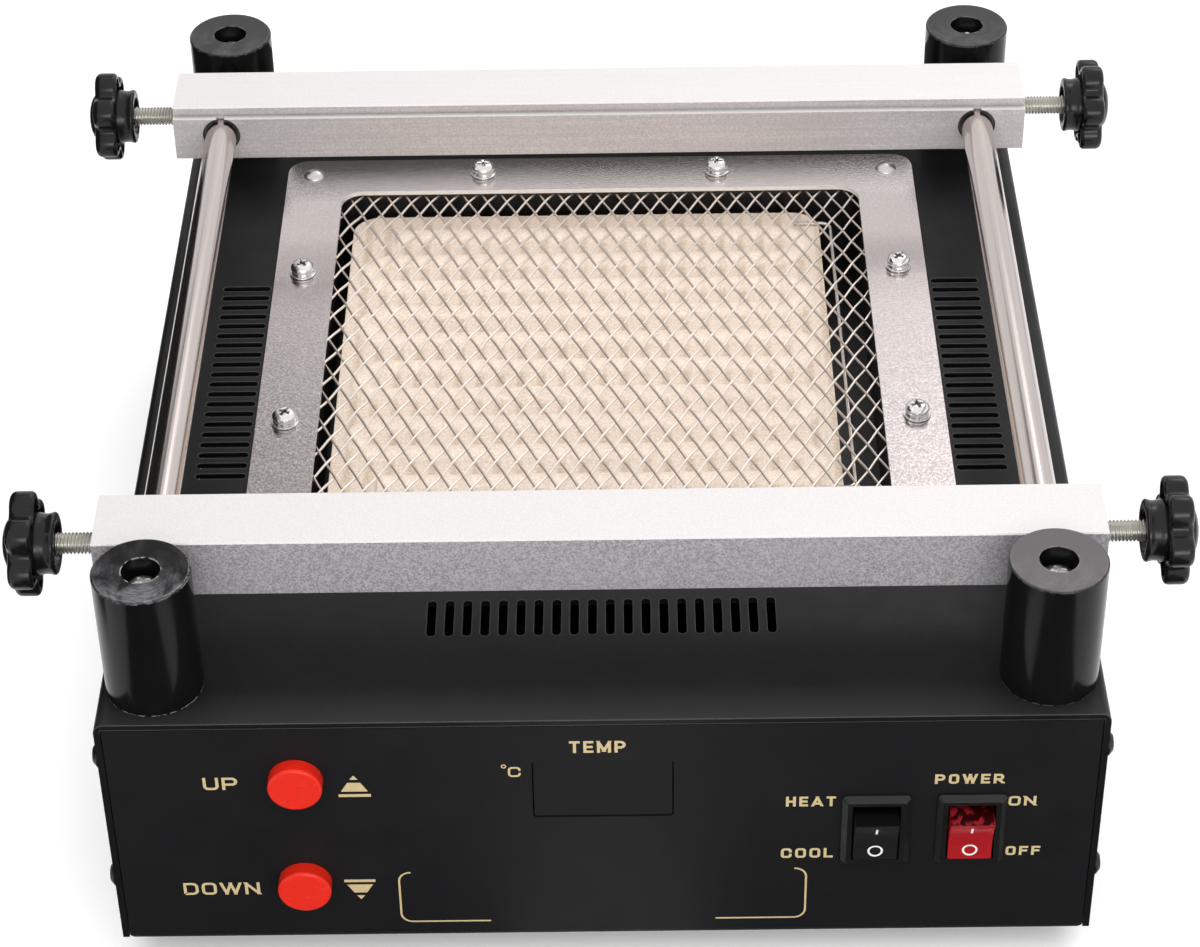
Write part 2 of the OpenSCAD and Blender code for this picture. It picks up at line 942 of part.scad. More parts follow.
module post_screws() {
    color("#c9c8c4")
    at_posts()
        translate([0, 0, seat_z])
            pan_screw(m4_d, m4_head_d, m4_head_h, seat_z - z_roof + m4_nut_h + 1.8);
}

module post_nuts() {
    color("#b4b2ab")
    at_posts()
        translate([0, 0, z_roof - m4_nut_h])
            hex_nut(m4_d, m4_nut_across, m4_nut_h);
}

module rod(x) {
    translate([x, 0, z_rod])
        difference() {
            union() {
                rotate([90, 0, 0])
                    cylinder(d = rod_d, h = 2 * (rod_half - rod_edge), center = true);
                for (end = [-1, 1])
                    translate([0, end * (rod_half - rod_edge - eps), 0])
                        rotate([end * -90, 0, 0])
                            cylinder(d1 = rod_d, d2 = rod_d - 2 * rod_edge, h = rod_edge + eps);
            }
            for (y = [-post_y, post_y])
                translate([0, y, 0]) {
                    translate([0, 0, -rod_d])
                        cylinder(d = m4_d + 2 * screw_gap, h = 2 * rod_d);
                    translate([0, 0, seat_z - z_rod])
                        cylinder(d = m4_head_d + 0.4, h = rod_d);
                }
        }
}

module left_rod() {
    color("#e2e2e0")
    rod(-post_x);
}

module right_rod() {
    color("#e2e2e0")
    rod(post_x);
}

// Section of a bar in Y and Z, with the board ledge on its +Y side and broken edges
module bar_profile() {
    y = bar_w / 2;
    z = bar_h / 2;
    e = bar_edge;
    polygon([
        [-y + e, -z],
        [y - e, -z],
        [y, -z + e],
        [y, z - ledge_h],
        [y - ledge_d, z - ledge_h],
        [y - ledge_d, z - e],
        [y - ledge_d - e, z],
        [-y + e, z],
        [-y, z - e],
        [-y, -z + e]
    ]);
}

module bar(y) {
    translate([0, y, z_rod])
        difference() {
            translate([-bar_l / 2, 0, 0])
                rotate([90, 0, 90])
                    linear_extrude(bar_l)
                        bar_profile();
            for (x = [-post_x, post_x])
                translate([x, 0, 0])
                    rotate([90, 0, 0]) {
                        cylinder(d = rod_d + 2 * slide_gap, h = bar_w + 2, center = true);
                        for (end = [-1, 1])
                            translate([0, 0, end * bar_w / 2])
                                cylinder(d = bore_mouth_d, h = 2 * bore_mouth_l, center = true);
                    }
            for (side = [-1, 1])
                translate([side * post_x, 0, 0])
                    rotate([0, side * 90, 0])
                        cylinder(d = stud_d + 2 * slide_gap, h = bar_l / 2);
        }
}

module front_bar() {
    color("#d4d2d2")
    bar(front_bar_y);
}

module rear_bar() {
    color("#d4d2d2")
    translate([0, rear_bar_y, 0])
        mirror([0, 1, 0])
            bar(0);
}

// A knob whose hub starts at X = 0 and whose cap points to +X, turned about that axis. The
// hub has a waist and a hollow end, and the lobes are hollow on the hub's side.
module knob(turn) {
    rotate([0, 90, 0])
        rotate(turn)
            difference() {
                union() {
                    knob_hub();
                    intersection() {
                        translate([0, 0, hub_l])
                            linear_extrude(knob_t)
                                star_outline();
                        knob_rim();
                    }
                    knob_cap();
                }
                translate([0, 0, -1])
                    cylinder(d = stud_d + 2 * thread_gap, h = stud_grip + 1 + thread_gap);
                translate([0, 0, -1])
                    cylinder(d = hub_hollow[0], h = hub_hollow[1] + 1);
                translate([0, 0, hub_l - 1])
                    linear_extrude(knob_t - knob_wall + 1)
                        difference() {
                            star_outline(knob_wall);
                            circle(d = hub_d);
                        }
            }
}

module knob_hub() {
    waist_r = (hub_l * hub_l / 4 + hub_waist * hub_waist) / (2 * hub_waist);
    rotate_extrude()
        difference() {
            square([hub_d / 2, hub_l + eps]);
            translate([hub_d / 2 - hub_waist + waist_r, hub_l / 2])
                circle(r = waist_r, $fn = 128);
        }
    cylinder(d = hub_d - 2 * hub_waist, h = hub_l + knob_t - eps);
}

// The space that the lobes may fill: a disc whose outer edge is rounded
module knob_rim() {
    rotate_extrude()
        translate([0, hub_l]) {
            square([knob_d / 2 + 1, knob_t - knob_edge]);
            square([knob_d / 2 - knob_edge, knob_t]);
            translate([knob_d / 2 - knob_edge, knob_t - knob_edge])
                circle(r = knob_edge);
        }
}

module knob_cap() {
    ball_r = (cap_d * cap_d / 4 + knob_dome * knob_dome) / (2 * knob_dome);
    translate([0, 0, hub_l + knob_t])
        intersection() {
            translate([0, 0, -eps])
                cylinder(d = cap_d, h = knob_dome + 2 * eps);
            translate([0, 0, knob_dome - ball_r])
                sphere(r = ball_r, $fn = 96);
        }
}

// A clamping screw that runs from its point at X = 0 to +X
module stud() {
    rotate([0, 90, 0])
        union() {
            cylinder(d1 = stud_d - 2 * stud_edge, d2 = stud_d, h = stud_edge);
            translate([0, 0, stud_edge])
                cylinder(d = stud_d, h = stud_l + stud_grip - stud_edge);
        }
}

module place_knob(side, y, show) {
    mirror([(1 - side) / 2, 0, 0])
        translate([bar_l / 2 + show, y, z_rod])
            children();
}

module place_stud(side, y, show) {
    mirror([(1 - side) / 2, 0, 0])
        translate([bar_l / 2 + show - stud_l, y, z_rod])
            children();
}

module front_left_knob() {
    color("#17171a")
    place_knob(-1, front_bar_y, front_stud_show)
        knob(knob_turns[0]);
}

module front_right_knob() {
    color("#17171a")
    place_knob(1, front_bar_y, front_stud_show)
        knob(knob_turns[1]);
}

module rear_left_knob() {
    color("#17171a")
    place_knob(-1, rear_bar_y, rear_stud_show)
        knob(knob_turns[2]);
}

module rear_right_knob() {
    color("#17171a")
    place_knob(1, rear_bar_y, rear_stud_show)
        knob(knob_turns[3]);
}

module front_left_stud() {
    color("#c9c7bd")
    place_stud(-1, front_bar_y, front_stud_show)
        stud();
}

module front_right_stud() {
    color("#c9c7bd")
    place_stud(1, front_bar_y, front_stud_show)
        stud();
}

module rear_left_stud() {
    color("#c9c7bd")
    place_stud(-1, rear_bar_y, rear_stud_show)
        stud();
}

module rear_right_stud() {
    color("#c9c7bd")
    place_stud(1, rear_bar_y, rear_stud_show)
        stud();
}

// Control panel

// A dark pane: its raised face fills the cut-out in the panel, its flange lies behind it
module display_window() {
    color("#0c0c0e")
    translate([0, 0, z_case + display_z]) {
        upright(panel_in, window_t)
            round_rect(display_w + 2 * window_rim, display_h + 2 * window_rim, window_r);
        upright(y_front + window_set, panel_in - y_front - window_set + eps)
            round_rect(display_w - 2 * screw_gap, display_h - 2 * screw_gap, window_r - screw_gap);
    }
}

// Three digits in one block
module display_module() {
    module_y = panel_in + window_t;
    module_l = board_y - module_y;
    color("#2a2a2c")
    translate([0, module_y + module_l / 2, z_case + display_z])
        difference() {
            cube([display_w - 1, module_l, display_h - 1], center = true);
            for (i = [-1, 0, 1])
                translate([i * (display_w - 1) / 3, -module_l / 2, 0])
                    cube([display_w / 5, 0.6, 0.65 * display_h], center = true);
        }
}

module display_board() {
    color("#1f5a34")
    upright(board_y, board_t)
        difference() {
            translate([board_x1, board_z1])
                square([board_x2 - board_x1, board_z2 - board_z1]);
            for (x = standoff_xs, z = standoff_zs)
                translate([x, z])
                    circle(d = m3_d + 2 * screw_gap);
        }
}

module key_switches() {
    color("#2b2b2d")
    for (z = [up_button_z, down_button_z])
        translate([button_x, board_y, z_case + z])
            difference() {
                translate([0, -key_h / 2, 0])
                    cube([key_size, key_h, key_size], center = true);
                rotate([90, 0, 0])
                    translate([0, 0, 1])
                        cylinder(d = plunger_d + 2 * pocket_gap, h = key_h);
            }
}

module board_standoffs() {
    color("#b9923d")
    for (x = standoff_xs, z = standoff_zs)
        translate([x, panel_in, z])
            rotate([-90, 0, 0])
                difference() {
                    cylinder(d = standoff_d, h = board_y - panel_in, $fn = 6);
                    translate([0, 0, 3])
                        cylinder(d = m3_d + 2 * thread_gap, h = board_y - panel_in);
                }
}

module board_screws() {
    color("#c9c8c4")
    for (x = standoff_xs, z = standoff_zs)
        translate([x, board_y + board_t, z])
            rotate([-90, 0, 0])
                pan_screw(m3_d, m3_head_d, m3_head_h, board_t + 4);
}

// A push button with its collar behind the panel and its plunger in the key switch
module button(z) {
    rest_l = board_y - key_h - button_flange_y - button_flange_t + 1;
    translate([button_x, y_front - button_out, z_case + z])
        rotate([-90, 0, 0]) {
            rotate_extrude()
                difference() {
                    square([button_d / 2, button_out + button_flange_y - y_front + eps]);
                    translate([button_d / 2 - button_round, 0])
                        difference() {
                            translate([0, -1])
                                square([button_round + 1, button_round + 1]);
                            translate([0, button_round])
                                circle(r = button_round);
                        }
                }
            translate([0, 0, button_out + button_flange_y - y_front])
                cylinder(d = button_flange_d, h = button_flange_t);
            translate([0, 0, button_out + button_flange_y - y_front + button_flange_t - eps])
                cylinder(d = plunger_d, h = rest_l + eps);
        }
}

module up_button() {
    color("#e23a2a")
    button(up_button_z);
}

module down_button() {
    color("#e23a2a")
    button(down_button_z);
}

// A rocker switch housing: sloped bezel on the panel, body behind it, pocket for the rocker
module switch_housing(x) {
    rocker_room = [rocker_w + 0.8, 2 * (rocker_half + 1.3)];
    pocket_l = 2 * 10;
    translate([x, 0, z_case + switch_z])
        difference() {
            union() {
                hull() {
                    upright(y_front - bezel_edge, bezel_edge)
                        round_rect(switch_w, switch_h, bezel_slope, $fn = 32);
                    upright(y_front - switch_bezel_t, bezel_edge)
                        round_rect(switch_w - 2 * bezel_slope, switch_h - 2 * bezel_slope, 0.6, $fn = 32);
                }
                translate([0, y_front + switch_body_l / 2 - eps, 0])
                    cube([switch_body_w, switch_body_l + 2 * eps, switch_body_h], center = true);
            }
            translate([0, y_front - switch_bezel_t, 0])
                cube([rocker_room[0], pocket_l, rocker_room[1]], center = true);
            translate([0, y_front - switch_bezel_t + rocker_pivot, 0])
                rotate([0, 90, 0])
                    cylinder(d = pin_d + 2 * slide_gap, h = rocker_w + 2, center = true);
        }
}

// A rocker in its off position, upper half out and lower half in. Its face is a hollow arc
// that dips between its two ends.
module rocker(x) {
    end_u = rocker_pivot + rocker_half * sin(rocker_tip) + rocker_lift;
    arc_r = (rocker_half * rocker_half + rocker_dip * rocker_dip) / (2 * rocker_dip);
    translate([x, y_front - switch_bezel_t + rocker_pivot, z_case + switch_z])
        rotate([rocker_tip, 0, 0]) {
            rotate([90, 0, 90])
                translate([0, 0, -rocker_w / 2])
                    linear_extrude(rocker_w)
                        difference() {
                            polygon([
                                [-end_u, rocker_half],
                                [-end_u, -rocker_half],
                                [1.2, -rocker_half + 1],
                                [3, -2],
                                [3, 2],
                                [1.2, rocker_half - 1]
                            ]);
                            translate([-end_u + rocker_dip - arc_r, 0])
                                circle(r = arc_r, $fn = 128);
                        }
            rotate([0, 90, 0])
                cylinder(d = pin_d, h = rocker_w + 1.6, center = true);
        }
}

module heat_switch_housing() {
    color("#19191b")
    switch_housing(heat_switch_x);
}

module power_switch_housing() {
    color("#19191b")
    switch_housing(power_switch_x);
}

module heat_rocker() {
    color("#1c1c1f")
    rocker(heat_switch_x);
}

module power_rocker() {
    color("#c2281f")
    rocker(power_switch_x);
}

// Blade terminals behind the two switches
module switch_terminals() {
    blade = [4.8, 8, 0.8];
    color("#c9b98a")
    for (x = [heat_switch_x, power_switch_x], z = [-1, 0, 1])
        translate([x, y_front + switch_body_l + blade[1] / 2, z_case + switch_z + z * 6])
            cube(blade, center = true);
}

// Inside the case

module power_board() {
    color("#1f5a34")
    difference() {
        translate([power_board_at[0], power_board_at[1], power_board_z + board_t / 2])
            cube([power_board[0], power_board[1], board_t], center = true);
        at_power_standoffs()
            translate([0, 0, power_board_z - 1])
                cylinder(d = m3_d + 2 * screw_gap, h = board_t + 2);
    }
}

module power_standoffs() {
    color("#c9c8c4")
    at_power_standoffs() {
        translate([0, 0, z_floor])
            cylinder(d = 6, h = power_board_z - z_floor);
        translate([0, 0, z_case])
            cylinder(d = m3_d, h = sheet + power_board_z - z_floor + board_t);
        translate([0, 0, z_case - 1.6])
            cylinder(d = m3_head_d, h = 1.6);
        translate([0, 0, power_board_z + board_t])
            pan_head(m3_head_d, m3_head_h);
    }
}

// A laminated core with two windows, the coil on its middle leg and four legs in the board
module transformer() {
    core = [34, 20, 24];
    leg = 7;
    yoke = 5;
    coil = [20, 31, 13];
    color("#8a8378")
    translate([power_board_at[0] - 22, power_board_at[1] + 4, power_board_z + board_t])
        rotate(90) {
            translate([0, core[1] / 2, 0])
                rotate([90, 0, 0])
                    linear_extrude(core[1])
                        difference() {
                            translate([-core[0] / 2, 0])
                                square([core[0], core[2]]);
                            for (x = [-1, 1])
                                translate([x * (core[0] - leg) / 4, core[2] / 2])
                                    square([(core[0] - 3 * leg) / 2, core[2] - 2 * yoke], center = true);
                        }
            translate([0, 0, (core[2] - coil[2]) / 2])
                linear_extrude(coil[2])
                    round_rect(coil[0], coil[1], 3);
            for (x = [-1, 1], y = [-1, 1])
                translate([x * 8, y * 13, (core[2] - coil[2]) / 4])
                    cube([1, 1, (core[2] - coil[2]) / 2 + 2 * eps], center = true);
        }
}

// An extruded heat sink: a back plate with fins, and the power switch screwed to its back
module triac_heatsink() {
    fin_count = 6;
    fin_pitch = 6.6;
    fin = [10, 1.6];
    back = [3, 36];
    sink_h = 22;
    triac = [4.8, 10.4, 15];
    triac_z = 4;
    color("#a9abad")
    translate([power_board_at[0] + 22, power_board_at[1] + 4, power_board_z + board_t]) {
        linear_extrude(sink_h) {
            square(back, center = true);
            for (i = [0 : fin_count - 1])
                translate([(back[0] + fin[0]) / 2 - eps, (i - (fin_count - 1) / 2) * fin_pitch])
                    square(fin, center = true);
        }
        translate([-(back[0] + triac[0]) / 2, 0, triac_z + triac[2] / 2])
            cube(triac, center = true);
        for (y = [-1, 0, 1])
            translate([-(back[0] + triac[0]) / 2, y * 2.5, triac_z / 2])
                cube([0.6, 0.8, triac_z + 2 * eps], center = true);
    }
}

module fan_frame() {
    depth_y = y_back - sheet - fan_t;
    color("#202022")
    difference() {
        upright(depth_y, fan_t)
            difference() {
                translate([fan_x, fan_z])
                    round_rect(fan_size, fan_size, 4);
                translate([fan_x, fan_z])
                    circle(d = fan_bore);
                for (x = [-1, 1], z = [-1, 1])
                    translate([fan_x + x * fan_hole_at, fan_z + z * fan_hole_at])
                        circle(d = m3_d + 2 * screw_gap);
            }
    }
    // Motor cup and the struts that carry it, on the inner face
    color("#202022")
    upright(depth_y, fan_cup_t)
        translate([fan_x, fan_z])
            union() {
                difference() {
                    circle(d = hub_fan_d);
                    circle(d = fan_shaft_d + 2 * slide_gap);
                }
                for (a = [45 : 90 : 315])
                    rotate(a)
                        translate([(hub_fan_d + fan_bore) / 4, 0])
                            square([(fan_bore - hub_fan_d) / 2 + 2, 3], center = true);
            }
}

// Hub with flat blades set at an angle, turning about Y on a shaft in the motor cup
module fan_rotor() {
    hub_y = y_back - sheet - fan_t + fan_cup_t + fan_face_gap;
    hub_h = fan_t - fan_cup_t - fan_face_gap - 1.5;
    color("#2a2a2d")
    translate([fan_x, hub_y, fan_z])
        rotate([-90, 0, 0]) {
            cylinder(d = hub_fan_d, h = hub_h);
            translate([0, 0, -fan_face_gap - fan_cup_t])
                cylinder(d = fan_shaft_d, h = fan_face_gap + fan_cup_t + eps);
            intersection() {
                for (i = [0 : blade_count - 1])
                    rotate(360 / blade_count * i)
                        translate([(hub_fan_d + fan_bore) / 4 - 0.5, 0, hub_h / 2])
                            rotate([40, 0, 0])
                                cube([(fan_bore - hub_fan_d) / 2 + 2, 13, 1.2], center = true);
                cylinder(d = fan_bore - 2, h = hub_h);
            }
        }
}

module fan_screws() {
    color("#c9c8c4")
    at_fan_screws() {
        pan_screw(m3_d, m3_head_d, m3_head_h, sheet + fan_t + 4);
        translate([0, 0, -sheet - fan_t - m3_nut_h])
            cylinder(d = m3_nut_across / cos(30), h = m3_nut_h, $fn = 6);
    }
}

module mains_inlet() {
    color("#161618")
    difference() {
        union() {
            upright(y_back, inlet_flange_t)
                translate([inlet_x, inlet_z])
                    difference() {
                        union() {
                            round_rect(inlet_flange[0], inlet_flange[1], 3);
                            slot(2 * (inlet_hole_at + 5), 10);
                        }
                        for (x = [-1, 1])
                            translate([x * inlet_hole_at, 0])
                                circle(d = m3_d + 2 * screw_gap);
                    }
            upright(y_back - inlet_body_l, inlet_body_l + eps)
                translate([inlet_x, inlet_z])
                    round_rect(inlet_body[0], inlet_body[1], 2);
        }
        // Socket for a mains connector, with its two lower corners cut off
        upright(y_back - inlet_socket_l, inlet_socket_l + inlet_flange_t + 1)
            translate([inlet_x, inlet_z])
                difference() {
                    square(inlet_socket, center = true);
                    for (x = [-1, 1])
                        translate([x * inlet_socket[0] / 2, -inlet_socket[1] / 2])
                            rotate(45)
                                square([7, 7], center = true);
                }
        at_inlet_pins()
            cube(inlet_pin + 2 * thread_gap * [1, 1, 1], center = true);
    }
}

module inlet_screws() {
    color("#c9c8c4")
    at_inlet_screws() {
        translate([0, 0, inlet_flange_t])
            pan_screw(m3_d, m3_head_d, m3_head_h, inlet_flange_t + sheet + m3_nut_h + 1);
        translate([0, 0, -sheet - m3_nut_h])
            cylinder(d = m3_nut_across / cos(30), h = m3_nut_h, $fn = 6);
    }
}

// Three blades in the inlet, with their tails behind it
module inlet_pins() {
    color("#c9b98a")
    at_inlet_pins()
        cube(inlet_pin, center = true);
}

module fuse_holder() {
    color("#161618")
    translate([fuse_x, y_back, fuse_z])
        rotate([-90, 0, 0])
            difference() {
                union() {
                    cylinder(d = fuse_rim[0], h = fuse_rim[1]);
                    translate([0, 0, fuse_rim[1] - eps])
                        cylinder(d1 = fuse_d + 1, d2 = fuse_d, h = fuse_cap_l + eps);
                    translate([0, 0, -fuse_l])
                        cylinder(d = fuse_d, h = fuse_l + eps);
                    translate([0, 0, -sheet - fuse_nut[1]])
                        cylinder(d = fuse_nut[0] / cos(30), h = fuse_nut[1], $fn = 6);
                }
                translate([0, 0, fuse_rim[1] + fuse_cap_l])
                    cube([0.75 * fuse_d, 1.4, 2], center = true);
            }
}

chassis();
top_cover();
cover_screws();
feet();
foot_screws();
heater_tray();
insulation_pad();
heater_bushes();
ceramic_heater();
heater_clip();
thermocouple();
bezel_plate();
wire_mesh();
plate_screws();
plate_washers();
plate_nuts();
plate_rivets();
front_left_post();
front_right_post();
rear_left_post();
rear_right_post();
post_screws();
post_nuts();
left_rod();
right_rod();
front_bar();
rear_bar();
front_left_knob();
front_right_knob();
rear_left_knob();
rear_right_knob();
front_left_stud();
front_right_stud();
rear_left_stud();
rear_right_stud();
display_window();
display_module();
display_board();
key_switches();
board_standoffs();
board_screws();
up_button();
down_button();
heat_switch_housing();
heat_rocker();
power_switch_housing();
power_rocker();
switch_terminals();
power_board();
power_standoffs();
transformer();
triac_heatsink();
fan_frame();
fan_rotor();
fan_screws();
mains_inlet();
inlet_screws();
inlet_pins();
fuse_holder();
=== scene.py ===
import json
import math

import bpy
from mathutils import Matrix, Vector

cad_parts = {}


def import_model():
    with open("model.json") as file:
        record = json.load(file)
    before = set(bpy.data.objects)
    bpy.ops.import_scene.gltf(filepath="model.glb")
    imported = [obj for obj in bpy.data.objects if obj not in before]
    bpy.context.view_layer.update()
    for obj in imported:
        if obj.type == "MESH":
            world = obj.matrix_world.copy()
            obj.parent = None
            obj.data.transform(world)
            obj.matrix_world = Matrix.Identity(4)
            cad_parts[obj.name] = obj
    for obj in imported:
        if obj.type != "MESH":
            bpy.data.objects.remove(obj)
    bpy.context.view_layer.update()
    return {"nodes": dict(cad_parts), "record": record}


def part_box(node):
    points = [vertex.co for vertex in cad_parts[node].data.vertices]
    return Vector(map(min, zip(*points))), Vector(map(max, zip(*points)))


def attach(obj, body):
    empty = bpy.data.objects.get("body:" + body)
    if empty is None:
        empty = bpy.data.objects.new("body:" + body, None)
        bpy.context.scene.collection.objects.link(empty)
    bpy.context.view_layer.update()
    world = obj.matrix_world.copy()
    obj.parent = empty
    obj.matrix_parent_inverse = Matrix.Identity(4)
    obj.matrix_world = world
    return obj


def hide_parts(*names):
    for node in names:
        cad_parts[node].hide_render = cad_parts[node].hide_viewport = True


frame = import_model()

nodes = frame["nodes"]
scene = bpy.context.scene
MM = 0.001


# Meshes

def link(shape, name, body, material, sharp):
    """A shape becomes a piece that rides on a body; corners of more than so many degrees stay sharp."""
    mesh = bpy.data.meshes.new(name)
    mesh.from_pydata([tuple(p) for p in shape.points], [], [tuple(f) for f in shape.faces])
    mesh.validate()
    mesh.update()
    mesh.shade_smooth()
    mesh.set_sharp_from_angle(angle=math.radians(sharp))
    mesh.materials.append(material)
    piece = bpy.data.objects.new(name, mesh)
    scene.collection.objects.link(piece)
    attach(piece, body)
    return piece


class Shape:
    """Points and faces gathered in one mesh, in metres."""

    def __init__(self):
        self.points = []
        self.faces = []

    def grid(self, rows, cap_start=False, cap_end=False):
        """Joins rows of points that all have the same length; each row closes on itself."""
        base = len(self.points)
        count = len(rows[0])
        for row in rows:
            self.points.extend(row)
        for i in range(len(rows) - 1):
            for j in range(count):
                k = (j + 1) % count
                a = base + i * count
                b = a + count
                self.faces.append((a + j, a + k, b + k, b + j))
        if cap_start:
            self.faces.append(tuple(base + j for j in reversed(range(count))))
        if cap_end:
            last = base + (len(rows) - 1) * count
            self.faces.append(tuple(last + j for j in range(count)))


def tube(shape, path, radius, sides=8):
    """A round wire along a list of Vectors."""
    rows = []
    normal = None
    for i, p in enumerate(path):
        ahead = (path[min(i + 1, len(path) - 1)] - path[max(i - 1, 0)]).normalized()
        if normal is None:
            normal = ahead.orthogonal().normalized()
        normal = (normal - ahead * normal.dot(ahead)).normalized()
        side = ahead.cross(normal)
        angles = [math.tau * k / sides for k in range(sides)]
        rows.append([p + normal * (radius * math.cos(a)) + side * (radius * math.sin(a)) for a in angles])
    shape.grid(rows, cap_start=True, cap_end=True)


# Materials

class Look:
    """A node material: its Principled shader and short ways to make its other nodes."""

    def __init__(self, name, colour, rough=0.5, metallic=0.0, **sockets):
        self.material = bpy.data.materials.new(name)
        self.material.use_nodes = True
        self.material.diffuse_color = (*colour[:3], 1)
        self.tree = self.material.node_tree
        self.shader = self.tree.nodes["Principled BSDF"]
        self.put("Base Color", (*colour[:3], 1))
        self.put("Roughness", rough)
        self.put("Metallic", metallic)
        for key, value in sockets.items():
            self.put(key.replace("_", " "), value)
        self.coordinates = self.node("TexCoord").outputs["Object"]

    def node(self, kind, **values):
        made = self.tree.nodes.new("ShaderNode" + kind)
        for key, value in values.items():
            setattr(made, key, value)
        return made

    def join(self, value, socket):
        if isinstance(value, bpy.types.NodeSocket):
            self.tree.links.new(value, socket)
        else:
            socket.default_value = value

    def put(self, name, value):
        self.join(value, self.shader.inputs[name])

    def scaled(self, x, y=None, z=None):
        """Object coordinates times a scale for each axis, in 1 per metre."""
        made = self.node("Mapping")
        self.join(self.coordinates, made.inputs["Vector"])
        made.inputs["Scale"].default_value = (x, x if y is None else y, x if z is None else z)
        return made.outputs["Vector"]

    def noise(self, vector, detail=3.0, rough=0.55, distortion=0.0):
        made = self.node("TexNoise")
        self.join(vector, made.inputs["Vector"])
        made.inputs["Scale"].default_value = 1.0
        made.inputs["Detail"].default_value = detail
        made.inputs["Roughness"].default_value = rough
        made.inputs["Distortion"].default_value = distortion
        return made.outputs["Fac"]

    def cells(self, vector):
        made = self.node("TexVoronoi")
        self.join(vector, made.inputs["Vector"])
        made.inputs["Scale"].default_value = 1.0
        return made.outputs["Distance"]

    def steps(self, value, low, high, to_low=0.0, to_high=1.0):
        made = self.node("MapRange")
        self.join(value, made.inputs["Value"])
        made.inputs["From Min"].default_value = low
        made.inputs["From Max"].default_value = high
        made.inputs["To Min"].default_value = to_low
        made.inputs["To Max"].default_value = to_high
        return made.outputs["Result"]

    def maths(self, operation, a, b=0.0, c=0.0):
        made = self.node("Math", operation=operation)
        for value, socket in zip((a, b, c), made.inputs):
            self.join(value, socket)
        return made.outputs[0]

    def product(self, a, b):
        return self.maths("MULTIPLY", a, b)

    def vectors(self, operation, *values):
        """Vector maths; a dot product or a length gives a number, the others a vector."""
        made = self.node("VectorMath", operation=operation)
        for value, socket in zip(values, made.inputs):
            self.join(value, socket)
        return made.outputs["Value" if operation in ("DOT_PRODUCT", "LENGTH") else "Vector"]

    def parts(self, vector):
        """The X, Y and Z of a vector."""
        made = self.node("SeparateXYZ")
        self.join(vector, made.inputs[0])
        return made.outputs

    def mix(self, factor, a, b):
        made = self.node("Mix", data_type="RGBA")
        self.join(factor, made.inputs["Factor"])
        for value, socket in ((a, made.inputs[6]), (b, made.inputs[7])):
            self.join(value if isinstance(value, bpy.types.NodeSocket) else (*value[:3], 1), socket)
        return made.outputs[2]

    def normal(self):
        return self.node("NewGeometry").outputs["Normal"]

    def facing(self, axis):
        """How far the surface faces along one axis, from -1 to 1."""
        return self.parts(self.normal())[axis]

    def level(self):
        """1 on faces that look straight up or down, 0 on upright ones."""
        return self.steps(self.maths("ABSOLUTE", self.facing("Z")), 0.4, 0.8)

    def bump(self, height, distance, strength=1.0, before=None):
        made = self.node("Bump")
        self.join(height, made.inputs["Height"])
        made.inputs["Distance"].default_value = distance
        made.inputs["Strength"].default_value = strength
        if before is not None:
            self.join(before, made.inputs["Normal"])
        return made.outputs["Normal"]

    def corners(self, reach):
        """Near 1 in inner corners and narrow bores, 0 on open faces, from ambient occlusion: the mask for
        painted shade.
        """
        made = self.node("AmbientOcclusion", samples=6)
        made.inputs["Distance"].default_value = reach
        return self.steps(made.outputs["AO"], 0.75, 0.3)

    def wear_and_highlight_edges(self, reach):
        """Near 1 on sharp outer edges, near 0 elsewhere: the mask for chipped edges and for painted edge
        highlights.
        """
        bevel = self.node("Bevel", samples=4)
        bevel.inputs["Radius"].default_value = reach
        dot = self.vectors("DOT_PRODUCT", bevel.outputs["Normal"], self.normal())
        return self.steps(dot, 0.98, 0.8)


def times(colour, factor):
    return [c * factor for c in colour]


def paint(name, colour, rough, grain=2600.0, depth=0.00003, spread=0.35, **sockets):
    """Powder coat: a fine skin, with soft clouds in its colour and gloss."""
    look = Look(name, colour, rough, **sockets)
    clouds = look.noise(look.scaled(38), 3.0)
    look.tone = look.mix(clouds, times(colour, 1 - spread), times(colour, 1 + spread))
    look.put("Base Color", look.tone)
    skin = look.noise(look.scaled(grain), 2.0, 0.6)
    gloss = look.noise(look.scaled(120), 4.0)
    look.put("Roughness", look.steps(gloss, 0.3, 0.7, rough - 0.05, rough + 0.07))
    look.put("Normal", look.bump(skin, depth))
    return look


def plastic(name, colour, rough, grain=1500.0, depth=0.00001, spread=0.12, **sockets):
    """Moulded plastic: nearly even, with faint flow marks and small scuffs."""
    look = Look(name, colour, rough, **sockets)
    flow = look.noise(look.scaled(60, 60, 22), 4.0, 0.6, 0.6)
    look.put("Base Color", look.mix(flow, times(colour, 1 - spread), times(colour, 1 + spread)))
    scuff = look.noise(look.scaled(420, 900, 700), 5.0, 0.7)
    look.put("Roughness", look.steps(scuff, 0.45, 0.75, rough, rough + 0.14))
    look.put("Normal", look.bump(look.noise(look.scaled(grain), 2.0), depth))
    return look.material


def metal(name, colour, rough, stretch=(900, 900, 900), depth=0.00001, spread=0.08):
    """Plated or brushed metal whose fine marks run along one axis."""
    look = Look(name, colour, rough, 1.0)
    marks = look.noise(look.scaled(*stretch), 5.0, 0.65)
    tint = look.noise(look.scaled(70), 3.0)
    look.put("Base Color", look.mix(tint, times(colour, 1 - spread), times(colour, 1 + spread)))
    look.put("Roughness", look.steps(marks, 0.3, 0.75, rough * 0.8, rough * 1.35))
    look.put("Normal", look.bump(marks, depth))
    return look


